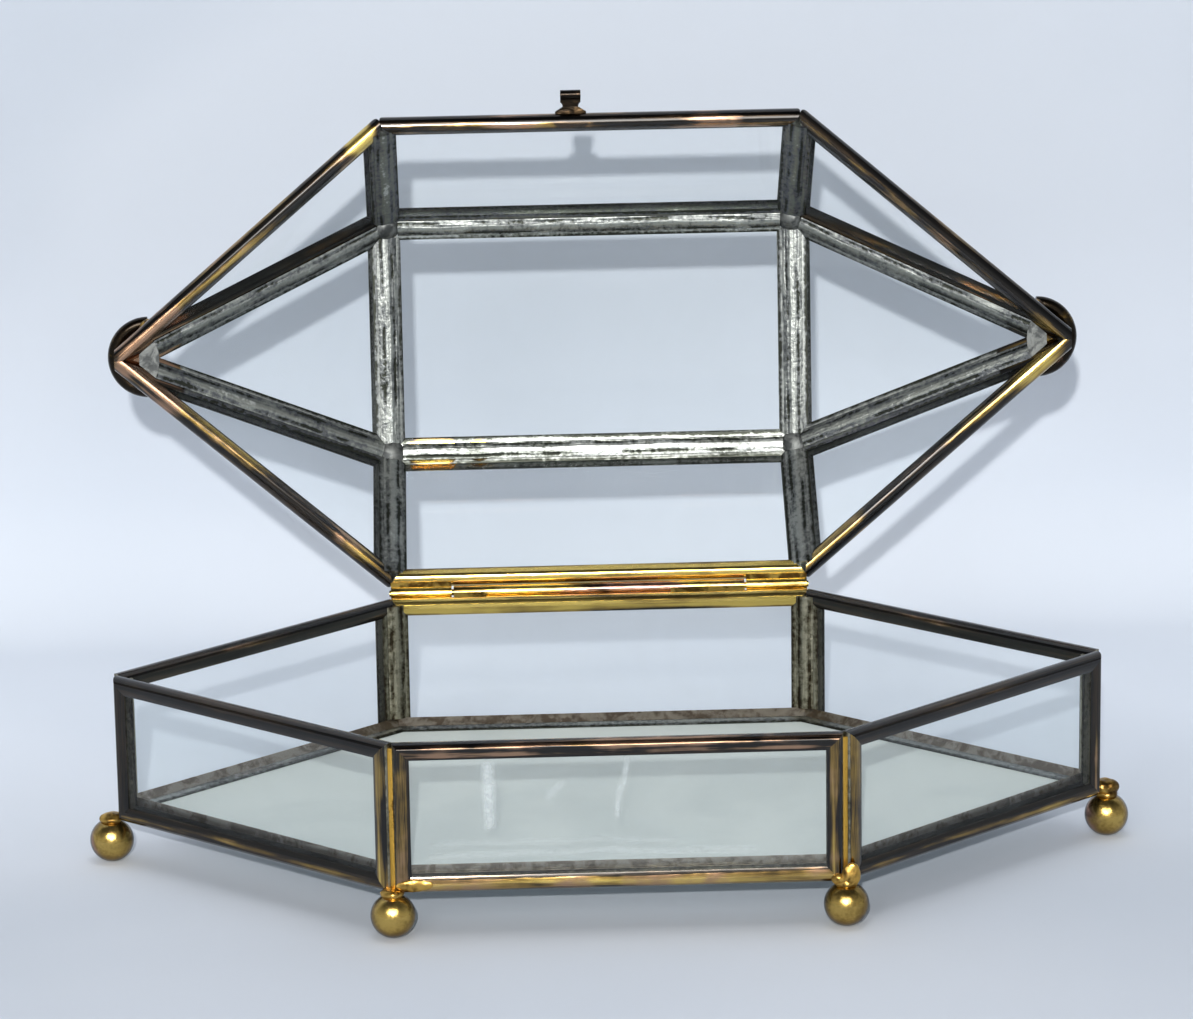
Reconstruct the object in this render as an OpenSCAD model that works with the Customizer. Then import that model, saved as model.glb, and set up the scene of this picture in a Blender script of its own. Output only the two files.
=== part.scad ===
// Glass casket box: an elongated six-sided box of clear panes, each pane edged with its own
// round-backed brass came, soldered edge to edge, standing on brass ball feet, with a faceted
// lid on a tube-and-pin hinge. Millimetres, +Z up, origin on the table under the middle of the base.

/* [Base] */
// Length of the box from tip to tip, along the middle of the glass
box_length = 180; // [160:1:220]
// Length of the straight front and back sides
side_length = 79; // [64:1:96]
// Width of the box from front to back, along the middle of the glass
box_width = 86; // [72:1:104]
// Height of the base walls over their brass edges
wall_height = 27.5; // [18:0.5:45]

/* [Lid] */
// Rise of the lid from its rim to its flat top pane
lid_rise = 20.3; // [14:0.1:30]
// How far each end of the flat top pane lies inside the ends of the straight sides
top_inset = 0.25; // [-3:0.05:8]
// Width of the flat top pane across the box
top_width = 45; // [34:0.5:56]
// How far the lid stands open, 0 is shut and 96.4 is as photographed
lid_open = 96.4; // [0:0.1:180]
// Gap between the two brass rims when the lid is shut
rim_gap = 0.5; // [0.3:0.05:0.8]

/* [Glass] */
// Thickness of every pane
glass_thick = 1.8; // [1.6:0.1:2.1]
// Play between a pane and the slot of its came, on each side
glass_play = 0.06; // [0.03:0.01:0.12]

/* [Came] */
// Thickness of the brass came, across the pane
came_thick = 3.1; // [2.9:0.1:3.8]
// Width of the came's face, from its back to its lip on the glass
came_face = 3; // [2.4:0.1:4]
// Metal between the back of the came and the edge of the pane
came_web = 0.8; // [0.6:0.1:1.2]
// How much the radius of the rounded back exceeds half the came's thickness
came_crown = 0.2; // [0.1:0.05:0.5]
// Distance from the back of the came to the crest of its faces, which fall from there to the lip
came_crest = 1.55; // [1.2:0.05:2]
// Thickness of the brass at the lip
came_lip = 0.18; // [0.14:0.02:0.3]
// Slope at which a face starts to fall, in degrees
crest_slope = 6; // [4:1:10]
// Gap between the two cames that meet at a tip of the lid
tip_seam = 0.06; // [0.04:0.02:0.2]
// How far the lid's cames run past the tip before they are cut off blunt
tip_overrun = 0.4; // [0.2:0.1:1.2]

/* [Solder] */
// Spread of the inner seam solder over each came's face, from the middle of the came's back
seam_spread = 0.5; // [0.2:0.1:0.8]
// Rise of the inner seam solder above the came's inner face
seam_rise = 0.35; // [0.1:0.05:0.8]
// Width of the solder in the groove between two cames, on the outside
bead_width = 0.9; // [0.4:0.05:1.2]
// Height and width of the fillet around the floor frame
floor_fillet = 1.3; // [0.8:0.1:2]
// Radius of the solder that fills each inner corner of the lid's top
knob_radius = 3.6; // [3:0.1:4.5]
// Radius of the solder that fills the inside of each tip of the lid
tip_fill = 8; // [7:0.25:9.5]
// Gap left between solder and the brass that it wets
wet_gap = 0.02; // [0.01:0.01:0.05]

/* [Feet] */
// Diameter of a ball foot
foot_ball = 8; // [6:0.25:10]
// Height of the flat filed under each ball
foot_flat = 0.12; // [0.05:0.01:0.3]
// Diameter of the solder collar between a ball and its corner
collar_width = 4.6; // [4:0.1:5]
// How far the collar reaches up beside the came
collar_rise = 0.9; // [0.5:0.1:1.4]

/* [Hinge] */
// Outside diameter of the hinge tubes
hinge_tube_width = 2.5; // [2.2:0.05:3]
// Diameter of the hinge pin
hinge_pin_width = 1.2; // [1:0.05:1.4]
// Radial play between the pin and the middle tube
pin_play = 0.05; // [0.02:0.01:0.1]
// Length of each short end tube, which is soldered to the lid
knuckle_length = 11.5; // [8:0.5:16]
// Gap between an end tube and the middle tube
knuckle_gap = 0.4; // [0.3:0.05:0.8]
// Gap between a tube and the rim that it has to pass
hinge_gap = 0.3; // [0.25:0.05:0.5]
// Length of the solder bead at the left end of the middle tube
left_bead = 6.2; // [4:0.1:12]
// Length of the solder bead at the right end of the middle tube
right_bead = 14; // [4:0.1:20]
// How far the pin stands out of each end tube
pin_proud = 0.3; // [0:0.1:0.8]

/* [Thumb tab] */
// How far the tab sits to the right of the middle of the front rim
tab_shift = -3.6; // [-20:0.1:20]
// Width of the bent strip
tab_width = 3.8; // [3.4:0.1:6]
// Thickness of the bent strip
tab_thick = 0.5; // [0.4:0.05:0.6]
// Distance from the rim to the middle of the rolled end
tab_reach = 3.5; // [3:0.1:5]
// Outside diameter of the rolled end
tab_curl = 1.8; // [1.7:0.1:2.2]
// Opening of the roll, under the strip
tab_slot = 0.4; // [0.2:0.05:0.5]
// Width of the strip at its waist
tab_waist = 2.9; // [2.4:0.1:3.2]
// Distance from the rim to the waist
tab_waist_at = 1.2; // [1:0.1:1.6]
// Radius of the notches that make the waist
tab_waist_radius = 1; // [0.6:0.1:1.2]
// Spread of the solder on each side of the strip
tab_flare = 1; // [0.6:0.1:2]

/* [End loops] */
// Thickness of the round rod of each loop
loop_rod = 2.8; // [2.2:0.1:3.2]
// Radius of the loop along the middle of its rod
loop_radius = 6.3; // [6:0.1:7]
// How far the loop's middle lies inside the tip
loop_inset = 5.8; // [5.4:0.1:6.4]
// Gap between the loop's rod and the brass under its ends
loop_seat = 0.08; // [0.04:0.02:0.2]
// Radius of the solder pad under each end of a loop
loop_pad = 2; // [1.8:0.1:2.4]

/* [Hidden] */
$fn = 64;

brass = "#b08a3c";
dark_brass = "#5e4a2a";
glass = [0.75, 0.85, 0.86, 0.35];
lead = "#8b8f8c";

// Longer than any part of the box, for cutting tools
reach = 2 * (box_length + box_width);

// Half the came's thickness, the radius of its back and the distance from back to lip
half_came = came_thick / 2;
back_radius = half_came + came_crown;
slot_half = glass_thick / 2 + glass_play;

// Arc of the faces, measured from the centre of the back: from the crest down to the lip
crest_x = came_crest - back_radius;
lip_x = came_face - back_radius;
lip_drop = half_came - slot_half - came_lip;
lip_slope = 2 * atan(lip_drop / (lip_x - crest_x)) - crest_slope;
arc_radius = (lip_x - crest_x) / (sin(lip_slope) - sin(crest_slope));
arc_x = crest_x - arc_radius * sin(crest_slope);
arc_drop = arc_radius * cos(crest_slope) - half_came;

// Plan of the middle of the glass, counterclockwise from the front left corner
tip_x = box_length / 2;
side_x = side_length / 2;
edge_y = box_width / 2;
plan = [[-side_x, -edge_y], [side_x, -edge_y], [tip_x, 0], [side_x, edge_y], [-side_x, edge_y], [-tip_x, 0]];

// Heights: each came's centre line lies one back radius inside the edge that it forms
foot_radius = foot_ball / 2;
base_low = foot_ball - foot_flat + wet_gap;
wall_low = base_low + back_radius;
wall_high = base_low + wall_height - back_radius;
base_top = base_low + wall_height;
hinge_z = base_top + rim_gap / 2;
lid_low = base_top + rim_gap + back_radius;
lid_high = lid_low + lid_rise;

// The hinge axis lies behind the rims, one tube, one gap and one back radius from both centre lines
hinge_radius = hinge_tube_width / 2;
rim_to_axis = back_radius + hinge_radius + hinge_gap;
hinge_drop = back_radius + rim_gap / 2;
hinge_y = edge_y + sqrt(rim_to_axis * rim_to_axis - hinge_drop * hinge_drop);
knuckle_in = side_x - knuckle_length;
tube_half = knuckle_in - knuckle_gap;

// Vector helpers
function unit(v) = v / norm(v);
function left(e) = [-e[1], e[0]];
function at(p, z) = [p[0], p[1], z];
function next(list, i) = list[(i + 1) % len(list)];
function before(list, i) = list[(i + len(list) - 1) % len(list)];
function same(a, b) = norm(a - b) < 0.001;

// Where the line through a along da meets the line through b along db
function meet(a, da, b, db) = a + da * cross(b - a, db) / cross(da, db);

// The polygon with each side moved inwards by its own distance
function inset(p, d) = [
    for (i = [0 : len(p) - 1])
        let (e0 = unit(p[i] - before(p, i)), e1 = unit(next(p, i) - p[i]))
        meet(p[i] + left(e0) * before(d, i), e0, p[i] + left(e1) * d[i], e1)
];
function inset_all(p, d) = inset(p, [for (q = p) d]);

// A facet is a list of its corners in space, counterclockwise as seen from outside
function normal(f) = unit(cross(f[1] - f[0], f[len(f) - 1] - f[0]));
function side(f) = unit(f[1] - f[0]);
function flat(f) = let (u = side(f), v = cross(normal(f), u)) [for (c = f) [(c - f[0]) * u, (c - f[0]) * v]];
function has_edge(f, p, q) =
    len([for (i = [0 : len(f) - 1]) if (same(f[i], p) && same(next(f, i), q)) i]) > 0;
function has_corner(f, p) = len([for (c = f) if (same(c, p)) c]) > 0;

// The facet on the other side of edge i, or an empty list at a free edge
function neighbour(f, i, all) = [for (g = all) if (has_edge(g, next(f, i), f[i])) g];
function inner_angle(f, g) = 180 - acos(normal(f) * normal(g));

// True where two facets share the edge from p to q
function is_shared(p, q, all) = len([for (g = all) if (has_corner(g, p) && has_corner(g, q)) g]) > 1;

// The corner that follows p on the way round the facet that doesn't pass q
function beyond(f, p, q) =
    [for (i = [0 : len(f) - 1]) if (same(f[i], p)) same(next(f, i), q) ? before(f, i) : next(f, i)][0];

// Distance from each edge to the back of its came: backs touch at a shared edge, and a free
// edge is the centre line of its back
function centre_inset(angle) = back_radius / sin(angle / 2);
function backs(f, all) = [
    for (i = [0 : len(f) - 1])
        let (g = neighbour(f, i, all))
        (len(g) == 0 ? 0 : centre_inset(inner_angle(f, g[0]))) - back_radius
];

// The six walls of the base, in the order of the plan
walls = [
    for (i = [0 : 5]) [at(plan[i], wall_low), at(next(plan, i), wall_low),
                       at(next(plan, i), wall_high), at(plan[i], wall_high)]
];

// The floor frame lies inside the walls, flush with their lower edges
floor_plan = inset_all(plan, half_came + wet_gap + back_radius);
floor_facet = [for (p = floor_plan) at(p, base_low + half_came)];

// Corners of the lid's top and rim, then its nine facets, all with the lid shut
top_x = side_x - top_inset;
top_y = top_width / 2;
rim = [for (p = plan) at(p, lid_low)];
crown = [
    [-top_x, -top_y, lid_high],
    [top_x, -top_y, lid_high],
    [top_x, top_y, lid_high],
    [-top_x, top_y, lid_high]
];
lid_top = crown;
lid_front = [rim[0], rim[1], crown[1], crown[0]];
lid_back = [rim[3], rim[4], crown[3], crown[2]];
lid_right_end = [rim[2], crown[2], crown[1]];
lid_left_end = [rim[5], crown[0], crown[3]];
lid_front_right = [rim[1], rim[2], crown[1]];
lid_back_right = [rim[2], rim[3], crown[2]];
lid_back_left = [rim[4], rim[5], crown[3]];
lid_front_left = [rim[5], rim[0], crown[0]];
lid_facets = [lid_top, lid_front, lid_back, lid_right_end, lid_left_end,
              lid_front_right, lid_back_right, lid_back_left, lid_front_left];

// Stands a shape, drawn flat, on a facet: z is the way out of the box
module on_facet(f) {
    u = side(f);
    n = normal(f);
    v = cross(n, u);
    multmatrix([[u[0], v[0], n[0], f[0][0]],
                [u[1], v[1], n[1], f[0][1]],
                [u[2], v[2], n[2], f[0][2]],
                [0, 0, 0, 1]]) children();
}

// Cross section of a came that grows towards +X from its back: a crowned back with flat faces
module came_section(grow = 0) {
    r = back_radius + grow;
    h = half_came + grow;
    intersection() {
        union() {
            circle(r);
            translate([0, -r]) square([reach, 2 * r]);
        }
        translate([-r - 1, -h]) square([reach + r, 2 * h]);
    }
}

// What the window takes out of a came's section: all beyond the lips, and what lies over the
// two arcs of the faces
module window_section() {
    difference() {
        translate([crest_x, -came_thick]) square([reach, 2 * came_thick]);
        intersection() {
            intersection_for (s = [-1, 1])
                translate([arc_x, s * arc_drop]) circle(arc_radius);
            translate([crest_x - came_thick, -came_thick])
                square([lip_x - crest_x + came_thick, 2 * came_thick]);
        }
    }
}

// The overlap of one long section for each side of a facet, set on the centres of the backs
module round_sides(f, all) {
    centres = inset(flat(f), [for (b = backs(f, all)) b + back_radius]);
    intersection_for (i = [0 : len(f) - 1]) {
        e = unit(next(centres, i) - centres[i]);
        translate([centres[i][0], centres[i][1], 0])
            rotate(atan2(e[1], e[0]))
                rotate([90, 0, 90])
                    linear_extrude(2 * reach, center = true) children();
    }
}

// A plate with crowned edges
module crowned_plate(f, all, grow = 0) {
    on_facet(f) round_sides(f, all) came_section(grow);
}

// The came of one pane: a crowned plate whose faces fall to its window, and the slot for the glass
module came_frame(f, all) {
    slot = inset(flat(f), [for (d = backs(f, all)) d + came_web]);
    difference() {
        crowned_plate(f, all);
        on_facet(f) {
            round_sides(f, all) window_section();
            linear_extrude(2 * slot_half, center = true) polygon(slot);
        }
    }
}

// The glass of one came, which stands in the slot with play all round
module glass_pane(f, all) {
    edge = inset(flat(f), [for (d = backs(f, all)) d + came_web + glass_play]);
    color(glass) on_facet(f) linear_extrude(glass_thick, center = true) polygon(edge);
}

// Everything deeper in the box than the inner face of a facet
module inside_of(f) {
    on_facet(f)
        translate([-reach, -reach, -reach - half_came - wet_gap])
            cube([2 * reach, 2 * reach, reach]);
}

// Section of the two crowned backs at a shared edge, grown by the gap that solder leaves:
// the ideal edge is the origin and +Y points into the box
module seam_backs(angle) {
    c = centre_inset(angle);
    for (s = [-1, 1])
        scale([s, 1])
            translate([c * sin(angle / 2), c * cos(angle / 2)])
                rotate(90 - angle / 2) came_section(wet_gap);
}

// Solder on the inside of the seam, which spreads over both cames
module seam_fillet(angle) {
    half = angle / 2;
    c = centre_inset(angle);
    foot = [(c + seam_spread) * sin(half) - half_came * cos(half),
            (c + seam_spread) * cos(half) + half_came * sin(half)];
    crest = foot[1] + seam_rise;
    difference() {
        polygon([
            [0, c * cos(half)],
            foot,
            [foot[0] / 2, crest],
            [-foot[0] / 2, crest],
            [-foot[0], foot[1]]
        ]);
        seam_backs(angle);
    }
}

// Solder on the outside of the seam, which fills the groove between the two backs
module seam_bead(angle) {
    touch = centre_inset(angle) * cos(angle / 2);
    depth = sqrt(pow(back_radius, 2) - pow(back_radius - bead_width / 2, 2));
    difference() {
        polygon([[0, touch], [-bead_width / 2, touch - depth], [bead_width / 2, touch - depth]]);
        seam_backs(angle);
    }
}

// Carries a seam's section along the edge from p to q that facets f and g share
module along_seam(p, q, f, g, start, stop) {
    along = unit(q - p);
    inward = -unit(normal(f) + normal(g));
    across = cross(inward, along);
    multmatrix([[across[0], inward[0], along[0], p[0]],
                [across[1], inward[1], along[1], p[1]],
                [across[2], inward[2], along[2], p[2]],
                [0, 0, 0, 1]])
        translate([0, 0, start])
            linear_extrude(norm(q - p) - start - stop) children();
}

// Half of space, to cut the seam from p to q at p: it starts half way, on the facet, to the
// next edge there, so that the fillets of two seams part at their mitre
module mitre(f, p, q) {
    along = unit(q - p);
    other = unit(beyond(f, p, q) - p);
    middle = unit(along + other);
    away = unit(other - along);
    up = cross(middle, away);
    multmatrix([[middle[0], away[0], up[0], p[0]],
                [middle[1], away[1], up[1], p[1]],
                [middle[2], away[2], up[2], p[2]],
                [0, 0, 0, 1]])
        translate([-reach, -wet_gap / 2, -reach])
            cube(2 * reach);
}

// Base

module floor_frame() {
    color(brass) came_frame(floor_facet, [floor_facet]);
}

module floor_pane() {
    glass_pane(floor_facet, [floor_facet]);
}

module wall_frame(i) {
    color(i == 0 || i == 3 ? brass : dark_brass) came_frame(walls[i], walls);
}

module wall_pane(i) {
    glass_pane(walls[i], walls);
}

// Upright seams between the walls: the inner fillets stand on the floor's solder, and the
// outer beads on the collars of the feet
module base_corner_solder() {
    inner_low = came_thick + floor_fillet + wet_gap - back_radius;
    outer_low = collar_rise + wet_gap - back_radius;
    color(lead)
        for (i = [0 : 5]) {
            angle = inner_angle(walls[i], next(walls, i));
            along_seam(walls[i][1], walls[i][2], walls[i], next(walls, i), inner_low, -back_radius / 2)
                seam_fillet(angle);
            along_seam(walls[i][1], walls[i][2], walls[i], next(walls, i), outer_low, -back_radius / 2)
                seam_bead(angle);
        }
}

// Fillet that joins the floor frame to the walls: it follows the frame's crowned back
module floor_solder() {
    outline = inset_all(plan, half_came + wet_gap);
    centre_z = base_low + half_came;
    top_z = base_low + came_thick + floor_fillet;
    cut = [for (p = inset_all(outline, floor_fillet)) at(p, base_low + came_thick + wet_gap)];
    color(lead) difference() {
        translate([0, 0, centre_z]) linear_extrude(top_z - centre_z) polygon(outline);
        intersection_for (i = [0 : 5]) {
            e = unit(next(cut, i) - cut[i]);
            translate(cut[i])
                rotate(atan2(e[1], e[0]))
                    rotate([45, 0, 0])
                        translate([-reach, 0, -reach]) cube([2 * reach, reach, 2 * reach]);
        }
        crowned_plate(floor_facet, [floor_facet], wet_gap);
        translate([0, 0, centre_z - came_thick])
            linear_extrude(2 * came_thick) polygon(inset_all(outline, came_face));
    }
}

// Plan of the feet: under the outer corners of the walls
foot_plan = inset_all(plan, -half_came / 2);

module foot(i) {
    color(brass)
        translate([foot_plan[i][0], foot_plan[i][1], foot_radius - foot_flat])
            difference() {
                sphere(foot_radius);
                translate([0, 0, foot_flat - foot_radius - foot_ball / 2])
                    cube([foot_ball, foot_ball, foot_ball], center = true);
            }
}

// Solder collars that join the balls to the cames above them
module foot_solder() {
    color(lead)
        for (i = [0 : 5]) {
            difference() {
                translate([foot_plan[i][0], foot_plan[i][1], base_low - foot_radius / 2])
                    cylinder(h = foot_radius / 2 + collar_rise, d = collar_width);
                translate([foot_plan[i][0], foot_plan[i][1], foot_radius - foot_flat])
                    sphere(foot_radius + wet_gap);
                crowned_plate(walls[i], walls, wet_gap);
                crowned_plate(before(walls, i), walls, wet_gap);
                crowned_plate(floor_facet, [floor_facet], wet_gap);
                translate([0, 0, base_low])
                    linear_extrude(foot_ball) polygon(inset_all(plan, 0));
            }
        }
}

// Hinge

// A tube on the hinge axis from one x to another, with a bore of the given radius
module hinge_sleeve(from, to, bore) {
    color(brass)
        translate([from, hinge_y, hinge_z])
            rotate([0, 90, 0])
                difference() {
                    cylinder(h = to - from, r = hinge_radius);
                    translate([0, 0, -1]) cylinder(h = to - from + 2, r = bore);
                }
}

// Solder between a hinge tube and the centre line of a rim, which lies at rim_z, from one x to another
module hinge_bead(from, to, rim_z) {
    lift = rim_z - hinge_z;
    run = edge_y - hinge_y;
    dir = unit([run, lift]);
    flank = left(dir) * hinge_radius * 0.8;
    color(lead)
        translate([from, hinge_y, hinge_z])
            rotate([90, 0, 90])
                linear_extrude(to - from)
                    difference() {
                        polygon([flank, -flank, dir * rim_to_axis - flank, dir * rim_to_axis + flank]);
                        circle(hinge_radius + wet_gap);
                        translate(dir * rim_to_axis) circle(back_radius + wet_gap);
                    }
}

module hinge_tube() {
    hinge_sleeve(-tube_half, tube_half, hinge_pin_width / 2 + pin_play);
}

module hinge_tube_solder() {
    hinge_bead(-tube_half, left_bead - tube_half, wall_high);
    hinge_bead(tube_half - right_bead, tube_half, wall_high);
}

// The end tubes are soldered to the pin, so their bore leaves only the solder's own gap
module hinge_knuckle(s) {
    hinge_sleeve(s < 0 ? -side_x : knuckle_in, s < 0 ? -knuckle_in : side_x, hinge_pin_width / 2 + wet_gap);
}

module hinge_knuckle_solder() {
    hinge_bead(-side_x, -knuckle_in, lid_low);
    hinge_bead(knuckle_in, side_x, lid_low);
}

module hinge_pin() {
    half = side_x + pin_proud;
    color(brass)
        translate([-half, hinge_y, hinge_z])
            rotate([0, 90, 0]) cylinder(h = 2 * half, r = hinge_pin_width / 2);
}

// Lid

// Turns what is drawn on the shut lid back about the hinge
module opened() {
    translate([0, hinge_y, hinge_z])
        rotate([-lid_open, 0, 0])
            translate([0, -hinge_y, -hinge_z]) children();
}

// What a corner came may not enter: the other side of the tip, and beyond its blunt end
module tip_cut(f) {
    tip = [for (c = f) if (abs(c[1]) < 0.001) c][0];
    away = f[1][1] + f[0][1] > 0 ? -1 : 1;
    beyond = tip[0] > 0 ? 1 : -1;
    translate([tip[0], away * (reach - tip_seam) / 2, tip[2]])
        cube([reach / 2, reach, reach], center = true);
    translate([tip[0] + beyond * (reach / 2 + tip_overrun), 0, tip[2]])
        cube([reach, reach, reach], center = true);
}

module lid_frame(f) {
    color(dark_brass) came_frame(f, lid_facets);
}

module lid_corner_frame(f) {
    color(dark_brass)
        difference() {
            came_frame(f, lid_facets);
            tip_cut(f);
        }
}

// Solder that fills the inner corners of the flat top and the inside of both tips
module lid_corner_solder() {
    crown_sides = [[lid_front, lid_front_left, lid_left_end], [lid_front, lid_front_right, lid_right_end],
                   [lid_back, lid_back_right, lid_right_end], [lid_back, lid_back_left, lid_left_end]];
    tip_sides = [[lid_right_end, lid_front_right, lid_back_right],
                 [lid_left_end, lid_front_left, lid_back_left]];
    color(lead) {
        for (i = [0 : 3])
            intersection() {
                translate(crown[i]) sphere(knob_radius);
                inside_of(lid_top);
                inside_of(crown_sides[i][0]);
                inside_of(crown_sides[i][1]);
                inside_of(crown_sides[i][2]);
            }
        for (i = [0 : 1])
            intersection() {
                translate(i == 0 ? rim[2] : rim[5]) sphere(tip_fill);
                inside_of(tip_sides[i][0]);
                inside_of(tip_sides[i][1]);
                inside_of(tip_sides[i][2]);
                translate([-reach / 2, -reach / 2, lid_low]) cube(reach);
            }
    }
}

// Each edge that two lid panes share is met from both sides; it is soldered from one of them
function is_first(p, q) = p[2] < q[2] - 0.001 || (abs(p[2] - q[2]) < 0.001 && p[0] + p[1] < q[0] + q[1]);
function seam_start(p) = p[2] > lid_low + 0.001 ? knob_radius - 1 : abs(p[1]) < 0.001 ? tip_fill - 0.5 : 0;

// Fillets inside and beads outside, along every edge between two lid panes
module lid_seam_solder() {
    color(lead)
        for (f = lid_facets)
            for (i = [0 : len(f) - 1]) {
                p = f[i];
                q = next(f, i);
                others = neighbour(f, i, lid_facets);
                if (len(others) > 0 && is_first(p, q)) {
                    angle = inner_angle(f, others[0]);
                    difference() {
                        along_seam(p, q, f, others[0], seam_start(p), seam_start(q)) seam_fillet(angle);
                        for (g = [f, others[0]])
                            for (ends = [[p, q], [q, p]])
                                if (is_shared(ends[0], beyond(g, ends[0], ends[1]), lid_facets))
                                    mitre(g, ends[0], ends[1]);
                        translate(q) sphere(knob_radius + wet_gap);
                        if (seam_start(p) > 0)
                            translate(p) sphere((p[2] > lid_low + 0.001 ? knob_radius : tip_fill) + wet_gap);
                    }
                    along_seam(p, q, f, others[0], back_radius, back_radius) seam_bead(angle);
                }
            }
}

// Thumb tab: a waisted strip with a rolled end, drawn from the side and run along the rim
tab_root = -edge_y - back_radius - wet_gap;
module lid_tab() {
    roll = [-tab_reach, (tab_thick - tab_curl) / 2];
    color(brass)
        translate([tab_shift, tab_root, lid_low])
            difference() {
                translate([-tab_width / 2, 0, 0])
                    rotate([90, 0, 90])
                        linear_extrude(tab_width)
                            difference() {
                                union() {
                                    translate([-tab_reach, -tab_thick / 2]) square([tab_reach, tab_thick]);
                                    translate(roll) circle(tab_curl / 2);
                                }
                                translate(roll) circle(tab_curl / 2 - tab_thick);
                                translate(roll - [0, tab_slot / 2]) square([tab_curl, tab_slot]);
                            }
                for (s = [-1, 1])
                    translate([s * (tab_waist / 2 + tab_waist_radius), -tab_waist_at, -tab_curl])
                        cylinder(h = 2 * tab_curl, r = tab_waist_radius);
            }
}

// Solder that flares from the strip to the rim
module lid_tab_solder() {
    half = tab_width / 2 + tab_flare;
    out = tab_waist_at;
    color(lead)
        translate([tab_shift, 0, lid_low])
            difference() {
                translate([0, 0, -tab_thick])
                    linear_extrude(2 * tab_thick)
                        polygon([
                            [-half, -edge_y],
                            [-half, tab_root - out / 4],
                            [-tab_waist / 2, tab_root - out],
                            [tab_waist / 2, tab_root - out],
                            [half, tab_root - out / 4],
                            [half, -edge_y]
                        ]);
                translate([-tab_width / 2 - wet_gap, tab_root - reach, -tab_thick / 2 - wet_gap])
                    cube([tab_width + 2 * wet_gap, reach + wet_gap, tab_thick + 2 * wet_gap]);
                translate([-tab_shift, 0, -lid_low]) crowned_plate(lid_front, lid_facets, wet_gap);
            }
}

// Half loop of round rod over a tip, lying on the outer faces of the rim's cames: loop_out is
// how far the middle of each end lies outside the rim's centre line, seen from above
tip_run = tip_x - side_x;
loop_out = (loop_radius * tip_run - loop_inset * edge_y) / norm([tip_run, edge_y]);
loop_lean = acos(normal(lid_front_right)[2]);
loop_z = lid_low + (half_came + loop_rod / 2 + loop_seat - sin(loop_lean) * loop_out) / cos(loop_lean);

// One loop, whose rod and ends can be grown to cut its place out of the solder
module loop_shape(s, grow = 0) {
    more = asin(grow / loop_radius);
    translate([s * (tip_x - loop_inset), 0, loop_z])
        rotate((s < 0 ? 90 : -90) - more)
            rotate_extrude(angle = 180 + 2 * more)
                translate([loop_radius, 0]) circle(d = loop_rod + 2 * grow);
}

module end_loop(s) {
    color(dark_brass) loop_shape(s);
}

// Solder round the four ends of the loops, standing on the cames' outer faces
module end_loop_solder() {
    seats = [
        [lid_front_left, -1, -1],
        [lid_front_right, 1, -1],
        [lid_back_right, 1, 1],
        [lid_back_left, -1, 1]
    ];
    color(lead)
        for (k = seats) {
            n = normal(k[0]);
            end = [k[1] * (tip_x - loop_inset + 0.4), k[2] * loop_radius, loop_z];
            difference() {
                translate(end - n * (loop_rod / 2 + loop_seat)) sphere(loop_pad);
                on_facet(k[0])
                    translate([-reach, -reach, half_came + wet_gap - reach])
                        cube([2 * reach, 2 * reach, reach]);
                loop_shape(k[1], wet_gap);
            }
        }
}

// The parts

floor_frame();
floor_pane();
wall_frame(0);  // front_frame
wall_frame(1);  // front_right_frame
wall_frame(2);  // back_right_frame
wall_frame(3);  // back_frame
wall_frame(4);  // back_left_frame
wall_frame(5);  // front_left_frame
wall_pane(0);  // front_pane
wall_pane(1);  // front_right_pane
wall_pane(2);  // back_right_pane
wall_pane(3);  // back_pane
wall_pane(4);  // back_left_pane
wall_pane(5);  // front_left_pane
base_corner_solder();
floor_solder();
foot(0);  // foot_front_left
foot(1);  // foot_front_right
foot(2);  // foot_right_tip
foot(3);  // foot_back_right
foot(4);  // foot_back_left
foot(5);  // foot_left_tip
foot_solder();
hinge_tube();
hinge_tube_solder();
opened() lid_frame(lid_top);  // lid_top_frame
opened() lid_frame(lid_front);  // lid_front_frame
opened() lid_frame(lid_back);  // lid_back_frame
opened() lid_frame(lid_left_end);  // lid_left_end_frame
opened() lid_frame(lid_right_end);  // lid_right_end_frame
opened() lid_corner_frame(lid_front_left);  // lid_front_left_frame
opened() lid_corner_frame(lid_front_right);  // lid_front_right_frame
opened() lid_corner_frame(lid_back_right);  // lid_back_right_frame
opened() lid_corner_frame(lid_back_left);  // lid_back_left_frame
opened() glass_pane(lid_top, lid_facets);  // lid_top_pane
opened() glass_pane(lid_front, lid_facets);  // lid_front_pane
opened() glass_pane(lid_back, lid_facets);  // lid_back_pane
opened() glass_pane(lid_left_end, lid_facets);  // lid_left_end_pane
opened() glass_pane(lid_right_end, lid_facets);  // lid_right_end_pane
opened() glass_pane(lid_front_left, lid_facets);  // lid_front_left_pane
opened() glass_pane(lid_front_right, lid_facets);  // lid_front_right_pane
opened() glass_pane(lid_back_right, lid_facets);  // lid_back_right_pane
opened() glass_pane(lid_back_left, lid_facets);  // lid_back_left_pane
opened() lid_seam_solder();
opened() lid_corner_solder();
opened() hinge_knuckle(-1);  // hinge_knuckle_left
opened() hinge_knuckle(1);  // hinge_knuckle_right
opened() hinge_knuckle_solder();
opened() hinge_pin();
opened() lid_tab();
opened() lid_tab_solder();
opened() end_loop(-1);  // end_loop_left
opened() end_loop(1);  // end_loop_right
opened() end_loop_solder();
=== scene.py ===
"""Looks of the glass casket box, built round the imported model.

Lengths are in millimetres, as on the maker's bench, and are turned into Blender's metres where
a mesh, a lamp or a node takes them.
"""

import logging
import math
from dataclasses import dataclass, field
from enum import Enum
from functools import partial
from typing import Callable, Sequence

import bpy
import numpy as np
from mathutils import Matrix, Vector


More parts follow.
